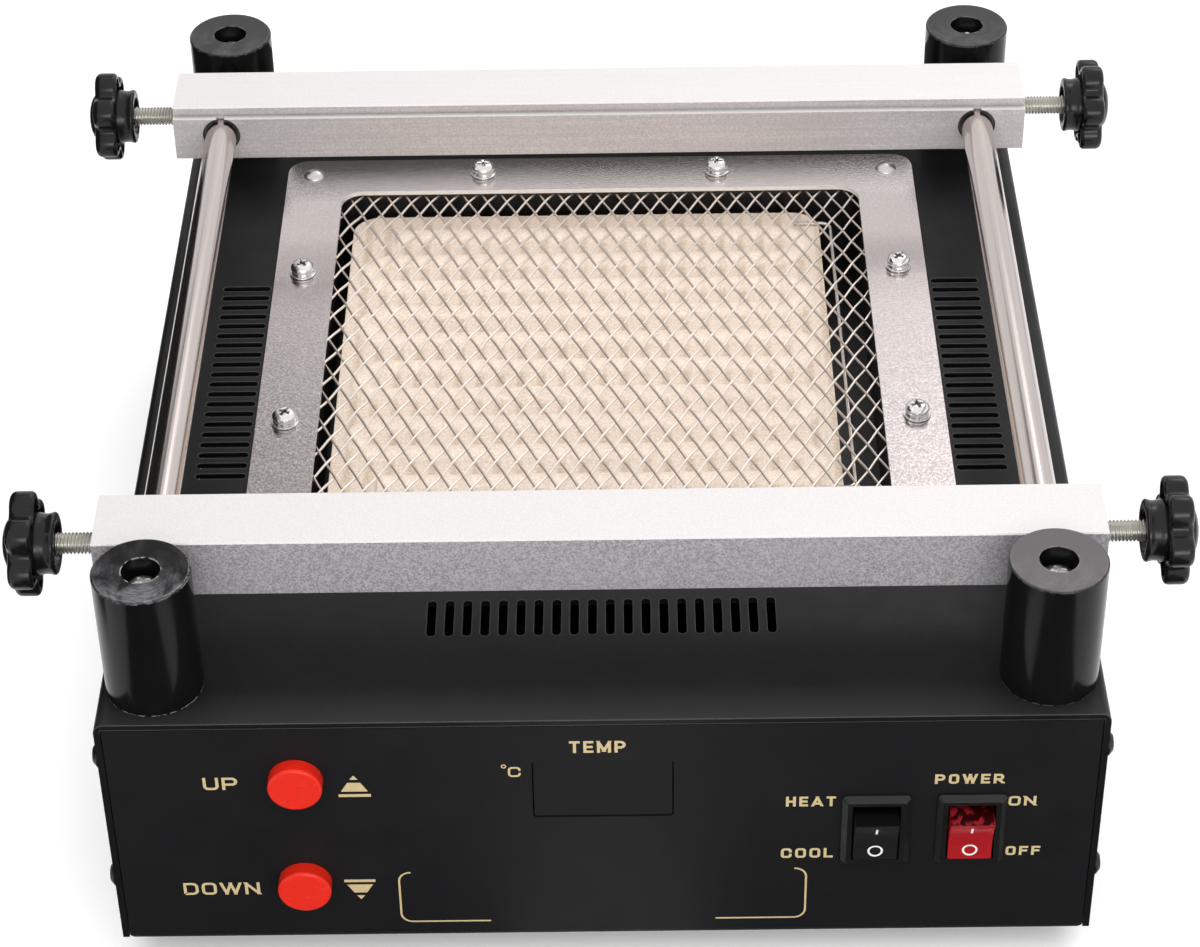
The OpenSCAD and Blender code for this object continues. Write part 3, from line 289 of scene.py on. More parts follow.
def case_paint():
    """The case's coat, with a painted sheen that greys the top along the panel's top edge and painted
    highlights on the cover's upper edges.
    """
    edge_y, edge_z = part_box("top_cover")[0].y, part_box("top_cover")[1].z
    look = paint("case_powder_coat", (0.0062, 0.006, 0.0061), 0.4, 2300.0, 0.00004, Specular_IOR_Level=0.2)
    place = look.parts(look.coordinates)
    # Painted sheen: top faces grow grey towards the cover's front edge.
    near_edge = look.steps(place["Y"], edge_y + 0.011, edge_y - 0.0005)
    painted_front_sheen = look.product(near_edge, look.steps(look.facing("Z"), 0.5, 0.9))
    tone = look.mix(look.product(painted_front_sheen, 0.6), look.tone, (0.03, 0.029, 0.029))
    # Painted highlights along the cover's upper edges, from the sharp-edge mask.
    on_top = look.steps(place["Z"], edge_z - 0.0025, edge_z - 0.0015, 0.0, 0.8)
    chipped_and_lit_edges = look.product(look.wear_and_highlight_edges(0.0005), on_top)
    look.put("Base Color", look.mix(chipped_and_lit_edges, tone, (0.12, 0.12, 0.12)))
    return look.material


def plate_steel():
    """Polished sheet with an orange-peel skin, painted specks of mottled reflection that are strongest in
    front, and cut edges painted pale as a highlight.
    """
    look = Look("plate_polished_steel", (0.60, 0.54, 0.53), 0.14)
    peel = look.noise(look.scaled(2700), 2.0, 0.6)
    waves = look.noise(look.scaled(45), 1.0, 0.4)
    smears = look.noise(look.scaled(60, 24, 60), 4.0, 0.6, 0.8)
    # Painted reflection: dark and light specks stand in for the orange-peel skin's mottled glare, strongest
    # in front.
    speck = look.noise(look.scaled(1500), 2.0, 0.7)
    zone = look.steps(look.parts(look.coordinates)["Y"], 0.03, -0.02, 0.2, 1.0)
    painted_shade_specks = look.product(look.steps(speck, 0.48, 0.38, 0.0, 0.4), zone)
    painted_glint_specks = look.product(look.steps(speck, 0.54, 0.66, 0.0, 0.55), zone)
    sheet = look.mix(smears, (0.575, 0.52, 0.51), (0.65, 0.59, 0.58))
    sheet = look.mix(painted_shade_specks, sheet, (0.28, 0.26, 0.255))
    sheet = look.mix(painted_glint_specks, sheet, (0.92, 0.88, 0.87))
    # Painted highlight: faces that aren't level, the cut edges, get a pale cream colour and little metal.
    flat = look.level()
    look.put("Base Color", look.mix(flat, (0.93, 0.86, 0.80), sheet))
    look.put("Metallic", look.steps(flat, 0.0, 1.0, 0.1, 1.0))
    look.put("Roughness", look.steps(smears, 0.3, 0.8, 0.045, 0.1))
    look.put("Normal", look.bump(peel, 0.00004, 1.0, look.bump(waves, 0.00002, 1.0)))
    return look.material


def bar_metal(name, dark, light, side_shade_tint, rough, speckle, draw):
    """Aluminium bar: fine blasted pits, draw lines along X, sides painted greyer than the top as shade, and
    painted shade in its corners and bores.
    """
    look = Look(name, light, rough, 0.35)
    # Painted shade: upright faces get a greyer tint than the top.
    grey = [a * b for a, b in zip(light, side_shade_tint)]
    fine = look.noise(look.scaled(2300), 2.0, 0.7)
    lines = look.noise(look.scaled(26, 1900, 1900), 4.0, 0.6)
    cloud = look.noise(look.scaled(30, 90, 90), 3.0)
    top = look.mix(look.steps(fine, 0.3, 0.7), dark, light)
    top = look.mix(look.steps(lines, 0.35, 0.7, 0.0, draw * 0.4), top, times(light, 0.75))
    side = look.mix(look.steps(fine, 0.36, 0.64), times(grey, 1 - speckle), grey)
    side = look.mix(look.steps(lines, 0.35, 0.7, 0.0, draw), side, times(grey, 0.62))
    side = look.mix(look.steps(cloud, 0.35, 0.8, 0.0, 0.35), side, times(grey, 0.78))
    # Painted shade: upright faces take the greyer side tone, and inner corners and bores darken.
    tone = look.mix(look.level(), side, top)
    look.put("Base Color", look.mix(look.corners(0.0025), tone, times(dark, 0.1)))
    look.put("Roughness", look.steps(fine, 0.3, 0.7, rough, rough + 0.14))
    look.put("Normal", look.bump(fine, 0.00004, 1.0, look.bump(lines, 0.00002 * draw)))
    return look.material


def zinc_plate():
    """Bright zinc on small screws and washers, with painted shade where they meet."""
    look = metal("zinc_plated_steel", (0.80, 0.79, 0.77), 0.22)
    tint = look.mix(look.noise(look.scaled(90), 3.0), (0.74, 0.73, 0.715), (0.90, 0.89, 0.875))
    # Painted shade: dark where screw heads and washers meet.
    look.put("Base Color", look.mix(look.corners(0.0011), tint, (0.06, 0.058, 0.05)))
    return look.material


def chrome():
    """Hard chrome, ground round: very fine rings and soft warm smears along the rod."""
    look = Look("rod_hard_chrome", (0.76, 0.72, 0.70), 0.2, 1.0)
    rings = look.noise(look.scaled(60, 5200, 60), 2.0, 0.6)
    streaks = look.noise(look.scaled(900, 14, 900), 4.0, 0.6)
    look.put("Base Color", look.mix(streaks, (0.50, 0.445, 0.42), (0.66, 0.60, 0.575)))
    look.put("Roughness", look.steps(streaks, 0.35, 0.75, 0.13, 0.2))
    look.put("Normal", look.bump(rings, 0.000004))
    return look.material


def post_plastic(node, dark, light, chips):
    """Turned black plastic: glossy sides, a top with arcs of tool marks that carry a painted sheen, brightest
    in front, and a chipped edge.
    """
    look = Look(node + "_plastic", (0.005, 0.005, 0.0053), 0.16, Specular_IOR_Level=0.17)
    low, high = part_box(node)
    centre = (low + high) / 2
    from_centre = look.parts(look.vectors("SUBTRACT", look.coordinates, (*centre[:2], 0)))
    x, y = from_centre["X"], from_centre["Y"]
    radius = look.maths("SQRT", look.maths("ADD", look.maths("POWER", x, 2.0), look.maths("POWER", y, 2.0)))
    polar = look.node("CombineXYZ")
    look.join(look.product(radius, 2600.0), polar.inputs["X"])
    look.join(look.product(look.maths("ARCTAN2", y, x), 2.2), polar.inputs["Y"])
    arcs = look.noise(polar.outputs[0], 3.0, 0.7)

    up = look.steps(look.facing("Z"), 0.6, 0.9)
    rings = look.noise(look.scaled(3, 3, 2600), 2.0, 0.6)
    smear = look.noise(look.scaled(260, 260, 60), 4.0, 0.6)
    cloud = look.noise(look.scaled(170, 130, 40), 4.0, 0.65, 0.6)
    # Painted sheen: where the tool-mark arcs lie, the top goes from its dark tone towards the light one, most
    # in front.
    front = look.steps(y, 0.004, -0.008, 0.1, 1.0)
    marks = look.product(look.steps(cloud, 0.4, 0.6), look.steps(arcs, 0.35, 0.6, 0.3, 1.0))
    pale = look.product(front, marks)
    chip = look.steps(look.noise(look.scaled(760), 3.0, 0.6), 0.47, 0.53)
    chipped_and_lit_edges = look.product(look.product(look.wear_and_highlight_edges(0.0006), chip), chips)
    side = look.mix(smear, (0.0035, 0.0035, 0.0037), (0.007, 0.007, 0.0075))
    tone = look.mix(up, side, look.mix(pale, dark, light))
    look.put("Base Color", look.mix(chipped_and_lit_edges, tone, (0.5, 0.49, 0.49)))
    look.put("Roughness", look.steps(look.maths("ADD", up, smear), 0.35, 1.4, 0.12, 0.45))
    look.put("Normal", look.bump(rings, 0.000006, 1.0, look.bump(look.product(arcs, up), 0.00002)))
    return look.material


def ceramic():
    """Cream heater ceramic: rows of tan spots in the valleys, soft mottling, fine grain and specks."""
    ridge_z, groove_z, spot_pitch = 0.0725, 0.0712, 0.0051
    look = Look("heater_cream_ceramic", (0.83, 0.70, 0.55), 0.62, Specular_IOR_Level=0.12)
    place = look.parts(look.coordinates)
    valley = look.steps(place["Z"], ridge_z, groove_z)
    cloud = look.noise(look.scaled(60), 4.0, 0.6)
    grain = look.noise(look.scaled(1500), 4.0, 0.7)
    specks = look.steps(look.cells(look.scaled(900)), 0.16, 0.1)
    wave = look.maths("SINE", look.maths("MULTIPLY_ADD", place["X"], math.tau / spot_pitch, 0.7))
    spots = look.product(look.steps(wave, -0.2, 0.9, 0.25, 1.0), valley)
    tone = look.mix(look.steps(cloud, 0.35, 0.75, 0.0, 0.5), (0.735, 0.63, 0.542), (0.685, 0.58, 0.484))
    tone = look.mix(look.product(spots, look.steps(cloud, 0.3, 0.7, 0.6, 1.0)), tone, (0.45, 0.345, 0.245))
    tone = look.mix(look.steps(grain, 0.48, 0.7, 0.0, 0.7), tone, (0.90, 0.81, 0.74))
    tone = look.mix(look.steps(grain, 0.5, 0.3, 0.0, 0.5), tone, (0.52, 0.43, 0.34))
    look.put("Base Color", look.mix(look.product(specks, 0.25), tone, (0.55, 0.42, 0.29)))
    look.put("Roughness", look.steps(cloud, 0.3, 0.8, 0.55, 0.75))
    softened = look.vectors("MULTIPLY_ADD", look.normal(), (0.35, 0.35, 0.35), (0, 0, 0.65))
    look.put("Normal", look.bump(grain, 0.0001, 1.0, look.vectors("NORMALIZE", softened)))
    return look.material


def rocker_plastic(name, colour, end_shade_colour, spots, rough, shine):
    """Moulded rocker: its end faces, which face up or down, are painted darker as shade, with painted glints
    in them.
    """
    look = Look(name, colour, rough, Specular_IOR_Level=shine)
    flow = look.noise(look.scaled(90), 3.0)
    body = look.mix(flow, times(colour, 0.88), times(colour, 1.12))
    # Painted shade on the end faces, with painted glints in it as strong as spots asks.
    ends = look.steps(look.maths("ABSOLUTE", look.facing("Z")), 0.5, 0.75)
    glints = look.steps(look.noise(look.scaled(420, 300, 300), 2.0, 0.6), 0.5, 0.62, 0.0, spots)
    painted_end_shade = look.mix(glints, end_shade_colour, times(end_shade_colour, 12))
    look.put("Base Color", look.mix(ends, body, painted_end_shade))
    look.put("Roughness", look.steps(flow, 0.3, 0.7, rough - 0.03, rough + 0.08))
    look.put("Normal", look.bump(look.noise(look.scaled(1400), 2.0), 0.000006))
    return look.material


def printed(name, colour, dark, light, film):
    """Legend ink: a slightly uneven film of that thickness."""
    look = Look(name, colour, 0.5)
    look.put("Base Color", look.mix(look.noise(look.scaled(1500), 3.0), dark, light))
    look.put("Normal", look.bump(look.noise(look.scaled(2600)), film))
    return look.material


MATERIALS = {
    "panel_black": paint(
        "panel_matte_paint", (0.0075, 0.0074, 0.0084), 0.55, 3000.0, 0.00002, 0.2,
        Specular_IOR_Level=0.15).material,
    "case_black": case_paint(),
    "screw_black": metal("screw_black_oxide", (0.03, 0.03, 0.031), 0.38).material,
    "zinc_steel": zinc_plate(),
    "foot_rubber": paint("foot_rubber", (0.012, 0.012, 0.012), 0.8, 1200.0, 0.00006).material,
    "tray_steel": metal(
        "tray_tinted_steel", (0.09, 0.088, 0.09), 0.42, (500, 500, 120), 0.00002, 0.2).material,
    "insulation": paint("insulation_board", (0.60, 0.57, 0.50), 0.9, 900.0, 0.0002, 0.1).material,
    "heater_ceramic": ceramic(),
    "bright_wire": metal("bright_wire", (0.62, 0.59, 0.57), 0.22, spread=0.14).material,
    "polished_steel": plate_steel(),
    "rod_chrome": chrome(),
    # The third colour tints the sides as painted shade.
    "bar_aluminium": bar_metal(
        "bar_blasted_aluminium", (0.62, 0.60, 0.595), (0.74, 0.71, 0.705), (0.69, 0.69, 0.73),
        0.5, 0.55, 0.1),
    "knob_black": plastic(
        "knob_moulded_plastic", (0.006, 0.006, 0.0063), 0.2, spread=0.2, Specular_IOR_Level=0.3),
    "window_dark": plastic(
        "window_tinted_plastic", (0.004, 0.004, 0.0045), 0.16, 400.0, 0.000004, Specular_IOR_Level=0.12),
    "part_black": plastic("part_moulded_plastic", (0.013, 0.013, 0.014), 0.42, 1800.0, 0.00002),
    "board_green": plastic("board_lacquer", (0.02, 0.10, 0.04), 0.3),
    "standoff_brass": metal("standoff_brass", (0.62, 0.43, 0.16), 0.25).material,
    "button_red": plastic(
        "button_moulded_red", (0.66, 0.018, 0.008), 0.2, 900.0, spread=0.08, Specular_IOR_Level=0.3),
    "switch_black": plastic(
        "switch_moulded_plastic", (0.008, 0.008, 0.0085), 0.32, 1600.0, Specular_IOR_Level=0.3),
    # The second colour is the end faces' painted shade.
    "rocker_red": rocker_plastic(
        "rocker_red_plastic", (0.32, 0.008, 0.012), (0.022, 0.001, 0.0015), 1.0, 0.2, 0.35),
    "terminal_brass": metal("terminal_tinned_brass", (0.66, 0.56, 0.36), 0.3).material,
    "transformer_steel": metal(
        "transformer_varnished", (0.16, 0.13, 0.10), 0.5, (60, 60, 2600), 0.0001, 0.25).material,
    "heatsink_aluminium": metal("heatsink_extruded", (0.55, 0.55, 0.56), 0.38, (40, 1800, 1800)).material,
}

# The mesh's two families of wires: a shaded and a lit copy of one wire, painted shade on the first and
# painted light in a cream tint on the second
WIRE = {
    1: metal("mesh_wire_shaded", (0.62, 0.545, 0.50), 0.3, spread=0.1).material,
    -1: metal("mesh_wire_lit", (0.90, 0.83, 0.77), 0.36, spread=0.1).material,
}
# Painted shade: the frame's steel is made nearly black for the shadow under the plate.
DARKENED_FRAME = metal("mesh_frame_steel", (0.10, 0.085, 0.075), 0.5).material
# Painted light: a brighter copy of the zinc for the screws deep in the posts' holes.
BRIGHTENED_SCREW_ZINC = metal("screw_zinc_brightened", (0.86, 0.85, 0.83), 0.35).material
STUD = metal("stud_zinc", (0.62, 0.605, 0.56), 0.3, (160, 2600, 2600), 0.000004).material
GOLD = printed("legend_gold_ink", (0.52, 0.41, 0.21), (0.42, 0.33, 0.17), (0.60, 0.475, 0.25), 0.00001)
WHITE = printed("legend_white_ink", (0.78, 0.77, 0.75), (0.66, 0.65, 0.63), (0.82, 0.81, 0.79), 0.0)
SLOT_OF = {s["node"]: s["material_slot"] for s in frame["record"]["subparts"]}

# Nodes whose finish differs from the one of their slot
OWN_FINISH = {
    "plate_rivets": metal("rivet_aluminium", (0.70, 0.66, 0.65), 0.33).material,
    # The second colour is the end faces' painted shade.
    "heat_rocker": rocker_plastic(
        "rocker_black_plastic", (0.010, 0.010, 0.011), (0.002, 0.002, 0.002), 0.0, 0.35, 0.25),
    # The third colour tints the sides as painted shade.
    "rear_bar": bar_metal(
        "bar_drawn_aluminium", (0.66, 0.635, 0.63), (0.755, 0.73, 0.725), (0.86, 0.83, 0.825),
        0.45, 0.3, 0.55),
    # Each post: the top's dark tone, the colour of its painted sheen, and how much its edge is chipped.
    "front_left_post": post_plastic("front_left_post", (0.004, 0.004, 0.0045), (0.17, 0.17, 0.18), 1.0),
    "front_right_post": post_plastic("front_right_post", (0.105, 0.095, 0.098), (0.15, 0.138, 0.143), 0.4),
    "rear_left_post": post_plastic("rear_left_post", (0.035, 0.033, 0.035), (0.085, 0.081, 0.085), 0.4),
    "rear_right_post": post_plastic("rear_right_post", (0.035, 0.033, 0.035), (0.085, 0.081, 0.085), 0.4),
}


# CAD nodes: their own shape, with broken edges and a finish

# Widths in mm of the bevels that aren't small
BEVEL = {
    "chassis": 0.35, "top_cover": 0.3, "bezel_plate": 0.5, "heater_tray": 0.2, "ceramic_heater": 0.5,
    "front_bar": 0.25, "rear_bar": 0.25, "power_rocker": 0.3, "heat_rocker": 0.3,
    "heat_switch_housing": 0.25, "power_switch_housing": 0.25, "up_button": 0.5, "down_button": 0.5,
    "fan_frame": 0.3, "fan_rotor": 0.3, "feet": 0.5, "mains_inlet": 0.3, "fuse_holder": 0.3,
    "display_window": 0.15,
}
SMALL_BEVEL = 0.12


def finish_cad(name, obj):
    """Material, then corners broken by a bevel in mm, with shading that keeps the flat faces flat."""
    obj.data.materials.clear()
    obj.data.materials.append(OWN_FINISH[name] if name in OWN_FINISH else MATERIALS[SLOT_OF[name]])
    weld = obj.modifiers.new("weld", "WELD")
    weld.merge_threshold = 0.000002
    flat = obj.modifiers.new("flat", "DECIMATE")
    flat.decimate_type = "DISSOLVE"
    flat.angle_limit = math.radians(0.5)
    bevel = obj.modifiers.new("edge", "BEVEL")
    bevel.width = BEVEL.get(name, SMALL_BEVEL) * MM
    bevel.segments = 2
    bevel.limit_method = "ANGLE"
    bevel.angle_limit = math.radians(38)
    bevel.use_clamp_overlap = True
    even = obj.modifiers.new("even", "WEIGHTED_NORMAL")
    even.weight = 90
    even.keep_sharp = True


for node_name, node_obj in nodes.items():
    finish_cad(node_name, node_obj)


# Round screw heads

def islands(name):
    """Boxes of the separate solids of a CAD node, in metres in the shared frame."""
    obj = nodes[name]
    root = {}

    def find(key):
        while root.setdefault(key, key) != key:
            root[key] = root[root[key]]
            key = root[key]
        return key

    places = [obj.matrix_world @ v.co for v in obj.data.vertices]
    keys = [tuple(round(c * 1e6) for c in place) for place in places]
    for edge in obj.data.edges:
        a, b = (find(keys[i]) for i in edge.vertices)
        root[a] = b
    boxes = {}
    for at, key in zip(places, keys):
        low, high = boxes.setdefault(find(key), (at.copy(), at.copy()))
        for k in range(3):
            low[k] = min(low[k], at[k])
            high[k] = max(high[k], at[k])
    return list(boxes.values())


def cross_screws(name, head_h, shank_r, turns, material):
    """Pan head screws along Z: a domed head with a cross recess over a plain shank."""
    shape = Shape()
    sectors, dome_rings = 64, 16
    dome, fullness = 0.55 * head_h, 4.5
    for (low, high), turn in zip(islands(name), turns):
        middle = (low + high) / 2
        radius = (high.x - low.x) / 2
        top = high.z

        def recess(r, a):
            """Depth of the cross at a place on the head."""
            u, v = abs(r * math.cos(a - turn)), abs(r * math.sin(a - turn))
            arm = max(0.0, min(1.0, (0.15 * radius - min(u, v)) / (0.05 * radius)))
            reach = max(0.0, min(1.0, (0.52 * radius - max(u, v)) / (0.08 * radius)))
            return 0.42 * head_h * arm * reach

        def ring(r, z, crossed=False):
            row = []
            for k in range(sectors):
                a = math.tau * k / sectors
                drop = recess(r, a) if crossed else 0.0
                row.append(Vector((middle.x + r * math.cos(a), middle.y + r * math.sin(a), z - drop)))
            return row

        rows = [ring(shank_r * 0.7, low.z), ring(shank_r, low.z + shank_r * 0.4), ring(shank_r, top - head_h)]
        rows += [ring(radius * 0.94, top - head_h), ring(radius, top - head_h * 0.92)]
        rows.append(ring(radius, top - dome))
        for k in range(1, dome_rings):
            share = 1 - k / dome_rings
            rows.append(ring(radius * share, top - dome * share ** fullness, True))
        rows.append(ring(radius * 0.01, top, True))
        shape.grid(rows, cap_start=True, cap_end=True)
    piece = link(shape, name + "_turned", "station", material, 50)
    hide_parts(name)


PLATE_SCREW_TURNS = (0.3, 0.9, 1.4, 0.1, 0.6, 1.1, 0.2, 0.75)
cross_screws("plate_screws", 2.1 * MM, 1.5 * MM, PLATE_SCREW_TURNS, MATERIALS["zinc_steel"])
cross_screws("post_screws", 2.4 * MM, 2.0 * MM, (0.5, 1.0, 0.2, 1.3), BRIGHTENED_SCREW_ZINC)


# Woven wire mesh in its frame

MESH_PITCH = 5.04 * MM
MESH_REACH = 70 * MM
MESH_WIRE_R = 0.325 * MM
WIRE_ANGLE = {1: 114.5, -1: 61}
WIRE_CRIMP = {1: 0.1 * MM, -1: 0.22 * MM}


def woven_mesh():
    """Two families of round wires, each at its own angle from X, that pass over and under each other."""
    low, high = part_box("wire_mesh")
    middle = (low + high) / 2
    rises = {side: math.tan(math.radians(angle)) for side, angle in WIRE_ANGLE.items()}
    for side, rise in rises.items():
        shape = Shape()
        other = rises[-side]
        span = MESH_PITCH / abs(1 / rise - 1 / other)
        count = math.ceil((MESH_REACH + MESH_REACH / abs(rise)) / MESH_PITCH)
        for i in range(-count, count + 1):
            x0 = i * MESH_PITCH
            ends = ((-MESH_REACH - x0) * rise, (MESH_REACH - x0) * rise)
            y1, y2 = max(-MESH_REACH, min(ends)), min(MESH_REACH, max(ends))
            if y2 - y1 < 4 * MM:
                continue
            steps = max(2, int(round((y2 - y1) / span * 8)))
            path = []
            for k in range(steps + 1):
                y = y1 + (y2 - y1) * k / steps
                x = x0 + y / rise
                crossing = (x - y / other) / MESH_PITCH
                swing = math.cos(math.pi * crossing) * (1 if i % 2 == 0 else -1) * side
                path.append(middle + Vector((x, y, swing * WIRE_CRIMP[side])))
            tube(shape, path, MESH_WIRE_R)
        title = "mesh_wires_" + ("a" if side > 0 else "b")
        piece = link(shape, title, "station", WIRE[side], 60)
        piece.visible_shadow = False
        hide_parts("wire_mesh")


def rounded_square(half, radius, middle, z, corner_steps=8):
    """Points round a square with rounded corners that lies flat at height z."""
    loop = []
    for quarter in range(4):
        cx = middle.x + (half - radius) * (1 if quarter in (0, 3) else -1)
        cy = middle.y + (half - radius) * (1 if quarter in (0, 1) else -1)
        for k in range(corner_steps + 1):
            a = math.pi / 2 * (quarter + k / corner_steps)
            loop.append(Vector((cx + radius * math.cos(a), cy + radius * math.sin(a), z)))
    return loop


def mesh_frame():
    """The flat frame that holds the wires, with its corners broken by a tenth of a millimetre."""
    low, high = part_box("wire_mesh")
    middle = (low + high) / 2
    outer, inner, corner_r, edge = (high.x - low.x) / 2, 68.5 * MM, 5.5 * MM, 0.1 * MM
    outline = [
        (outer, low.z + edge), (outer, high.z - edge), (outer - edge, high.z),
        (inner + edge, high.z), (inner, high.z - edge), (inner, low.z + edge), (inner + edge, low.z),
        (outer - edge, low.z), (outer, low.z + edge),
    ]
    shape = Shape()
    shape.grid([rounded_square(half, corner_r, middle, z) for half, z in outline])
    piece = link(shape, "mesh_frame", "station", DARKENED_FRAME, 35)
    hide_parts("wire_mesh")


woven_mesh()
mesh_frame()


# Star knobs and their clamping screws

KNOB_TURN = {"front_left": 39, "front_right": 22, "rear_left": 52, "rear_right": 10}
LOBES = 6
LOBE_R, LOBE_AT, CORE_R, WEB_R = 3.9, 8.1, 9.2, 1.5


def star_radius(angle, inset=0.0):
    """Outline of the knob at an angle from a lobe, in mm: a lobe, a hollow web, then the core."""
    step = math.tau / LOBES
    a = abs((angle + step / 2) % step - step / 2)
    web_at = CORE_R + WEB_R
    swing = math.acos((LOBE_AT ** 2 + web_at ** 2 - (LOBE_R + WEB_R) ** 2) / (2 * LOBE_AT * web_at))
    web = Vector((web_at * math.cos(swing), web_at * math.sin(swing)))
    lobe = Vector((LOBE_AT, 0))
    size, hollow = LOBE_R - inset, WEB_R + inset
    touch = lobe + (web - lobe) * (size / (size + hollow))
    if a <= math.atan2(touch.y, touch.x):
        return LOBE_AT * math.cos(a) + math.sqrt(max(0.0, size ** 2 - (LOBE_AT * math.sin(a)) ** 2))
    if a <= swing:
        from_web = web_at * math.sin(swing - a)
        return web_at * math.cos(swing - a) - math.sqrt(max(0.0, hollow ** 2 - from_web ** 2))
    return CORE_R - inset


def knob(name, middle, side, turn):
    """Star knob round X: waisted hollow hub towards the bar, rounded lobes, domed cap outside."""
    hub, thick, dome, rounding = 4.2, 5.6, 2.2, 1.6
    low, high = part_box(name)
    start = low.x if side > 0 else high.x
    sides = LOBES * 36
    shape = Shape()

    def ring(x, radius):
        """Points at x mm from the inner end, with a radius in mm that may depend on the angle."""
        row = []
        for k in range(sides):
            a = math.tau * k / sides
            r = radius(side * a) if callable(radius) else radius
            y, z = side * r * MM * math.sin(a), r * MM * math.cos(a)
            row.append(Vector((start + side * x * MM, middle.y + y, middle.z + z)))
        return row

    def star(inset):
        return lambda a: star_radius(a + math.radians(turn), inset)

    rows = [ring(0.3, 2.5), ring(1.8, 2.5), ring(1.8, 4.5), ring(1.6, 4.7), ring(0.3, 4.7), ring(0.05, 4.95)]
    rows += [ring(0.0, 5.2), ring(0.0, 6.3), ring(0.12, 6.7), ring(0.4, 6.94)]
    for k in range(9):
        rows.append(ring(0.6 + (hub - 1.0) * k / 8, 6.98 - 0.32 * math.sin(math.pi * k / 8)))
    rows += [ring(hub, 7.0), ring(hub + 3.9, 7.0), ring(hub + 4.1, 7.15)]
    rows += [ring(hub + 4.1, star(1.75)), ring(hub + 3.9, star(1.55))]
    rows += [ring(hub + 0.3, star(1.5)), ring(hub + 0.05, star(1.3))]
    for k in range(1, 6):
        a = math.pi / 2 * k / 5
        rows.append(ring(hub + 1.1 * (1 - math.cos(a)), star(1.1 * (1 - math.sin(a)))))
    for k in range(9):
        a = math.pi / 2 * k / 8
        rows.append(ring(hub + thick - rounding + rounding * math.sin(a), star(rounding * (1 - math.cos(a)))))
    rows += [ring(hub + thick + 0.06, 6.6), ring(hub + thick + 0.02, 6.2)]
    for k in range(9):
        a = math.pi / 2 * k / 8
        rows.append(ring(hub + thick + dome * math.sin(a), max(0.02, 6.0 * math.cos(a))))
    shape.grid(rows, cap_end=True)
    piece = link(shape, name + "_moulded", name, MATERIALS["knob_black"], 50)
    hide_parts(name)


def thread(name, body, low, high):
    """M5 screw along X with a real helix, its point towards the case's middle."""
    middle = (low + high) / 2
    pitch, major, minor, taper = 0.8, 2.45, 1.97, 0.5
    per_turn, sides = 8, 28
    length = (high.x - low.x) / MM
    count = int(length / pitch * per_turn)
    tip, way = (low.x, 1) if abs(low.x) < abs(high.x) else (high.x, -1)
    rows = []
    for i in range(count + 1):
        x = length * i / count
        row = []
        for k in range(sides):
            a = math.tau * k / sides
            crest = 1 - abs(2 * ((x / pitch - k / sides) % 1.0) - 1)
            r = minor + (major - minor) * min(1.0, max(0.0, crest * 1.35 - 0.15))
            r = min(r, major - max(0.0, taper - x)) * MM
            y, z = way * r * math.sin(a), r * math.cos(a)
            row.append(Vector((tip + way * x * MM, middle.y + y, middle.z + z)))
        rows.append(row)
    shape = Shape()
    shape.grid(rows, cap_start=True, cap_end=True)
    piece = link(shape, name + "_thread", body, STUD, 70)
    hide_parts(name)


for corner, knob_turn in KNOB_TURN.items():
    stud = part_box(corner + "_stud")
    knob(corner + "_knob", (stud[0] + stud[1]) / 2, -1 if "left" in corner else 1, knob_turn)
    thread(corner + "_stud", corner + "_screw", *stud)


# Legends on the control panel

CASE_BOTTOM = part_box("chassis")[0].z
PANEL_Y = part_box("chassis")[0].y
PRINT_LIFT, PRINT_STEP = 0.03 * MM, 0.004 * MM


def flat_print(name, groups):
    """Filled outlines on the panel, in mm. Groups of outlines lie a hair apart, so that they may cross."""
    shape = Shape()
    for k, group in enumerate(groups):
        lift = PRINT_LIFT + PRINT_STEP * k
        for polygon in group:
            base = len(shape.points)
            shape.points += [Vector((x * MM, PANEL_Y - lift, CASE_BOTTOM + z * MM)) for x, z in polygon]
            shape.faces.append(tuple(range(base, base + len(polygon))))
    return link(shape, name, "station", GOLD, 30)


def stroke(points, width):
    """A line of even width along points, as four-sided strips that meet in mitres."""
    left, right = [], []
    for i, (x, z) in enumerate(points):
        before = points[max(i - 1, 0)]
        after = points[min(i + 1, len(points) - 1)]
        d1 = Vector((x - before[0], z - before[1]))
        d2 = Vector((after[0] - x, after[1] - z))
        d1 = d1.normalized() if d1.length else d2.normalized()
        d2 = d2.normalized() if d2.length else d1
        normal = Vector((-(d1.y + d2.y), d1.x + d2.x)).normalized()
        scale = width / 2 / max(0.72, normal.dot(Vector((-d1.y, d1.x))))
        left.append((x + normal.x * scale, z + normal.y * scale))
        right.append((x - normal.x * scale, z - normal.y * scale))
    strips = []
    for i in range(len(points) - 1):
        strips.append([left[i], right[i], right[i + 1], left[i + 1]])
    return strips


def arc(cx, cz, r, a1, a2, steps=8):
    """Points on a circle from angle a1 to a2, in degrees."""
    angles = [math.radians(a1 + (a2 - a1) * k / steps) for k in range(steps + 1)]
    return [(cx + r * math.cos(a), cz + r * math.sin(a)) for a in angles]


# Widths of the letters that aren't as wide as the others
GLYPH_WIDTH = {"W": 1.45, "M": 1.25, "L": 0.85, "E": 0.9, "F": 0.88, "T": 0.95, "A": 1.15}


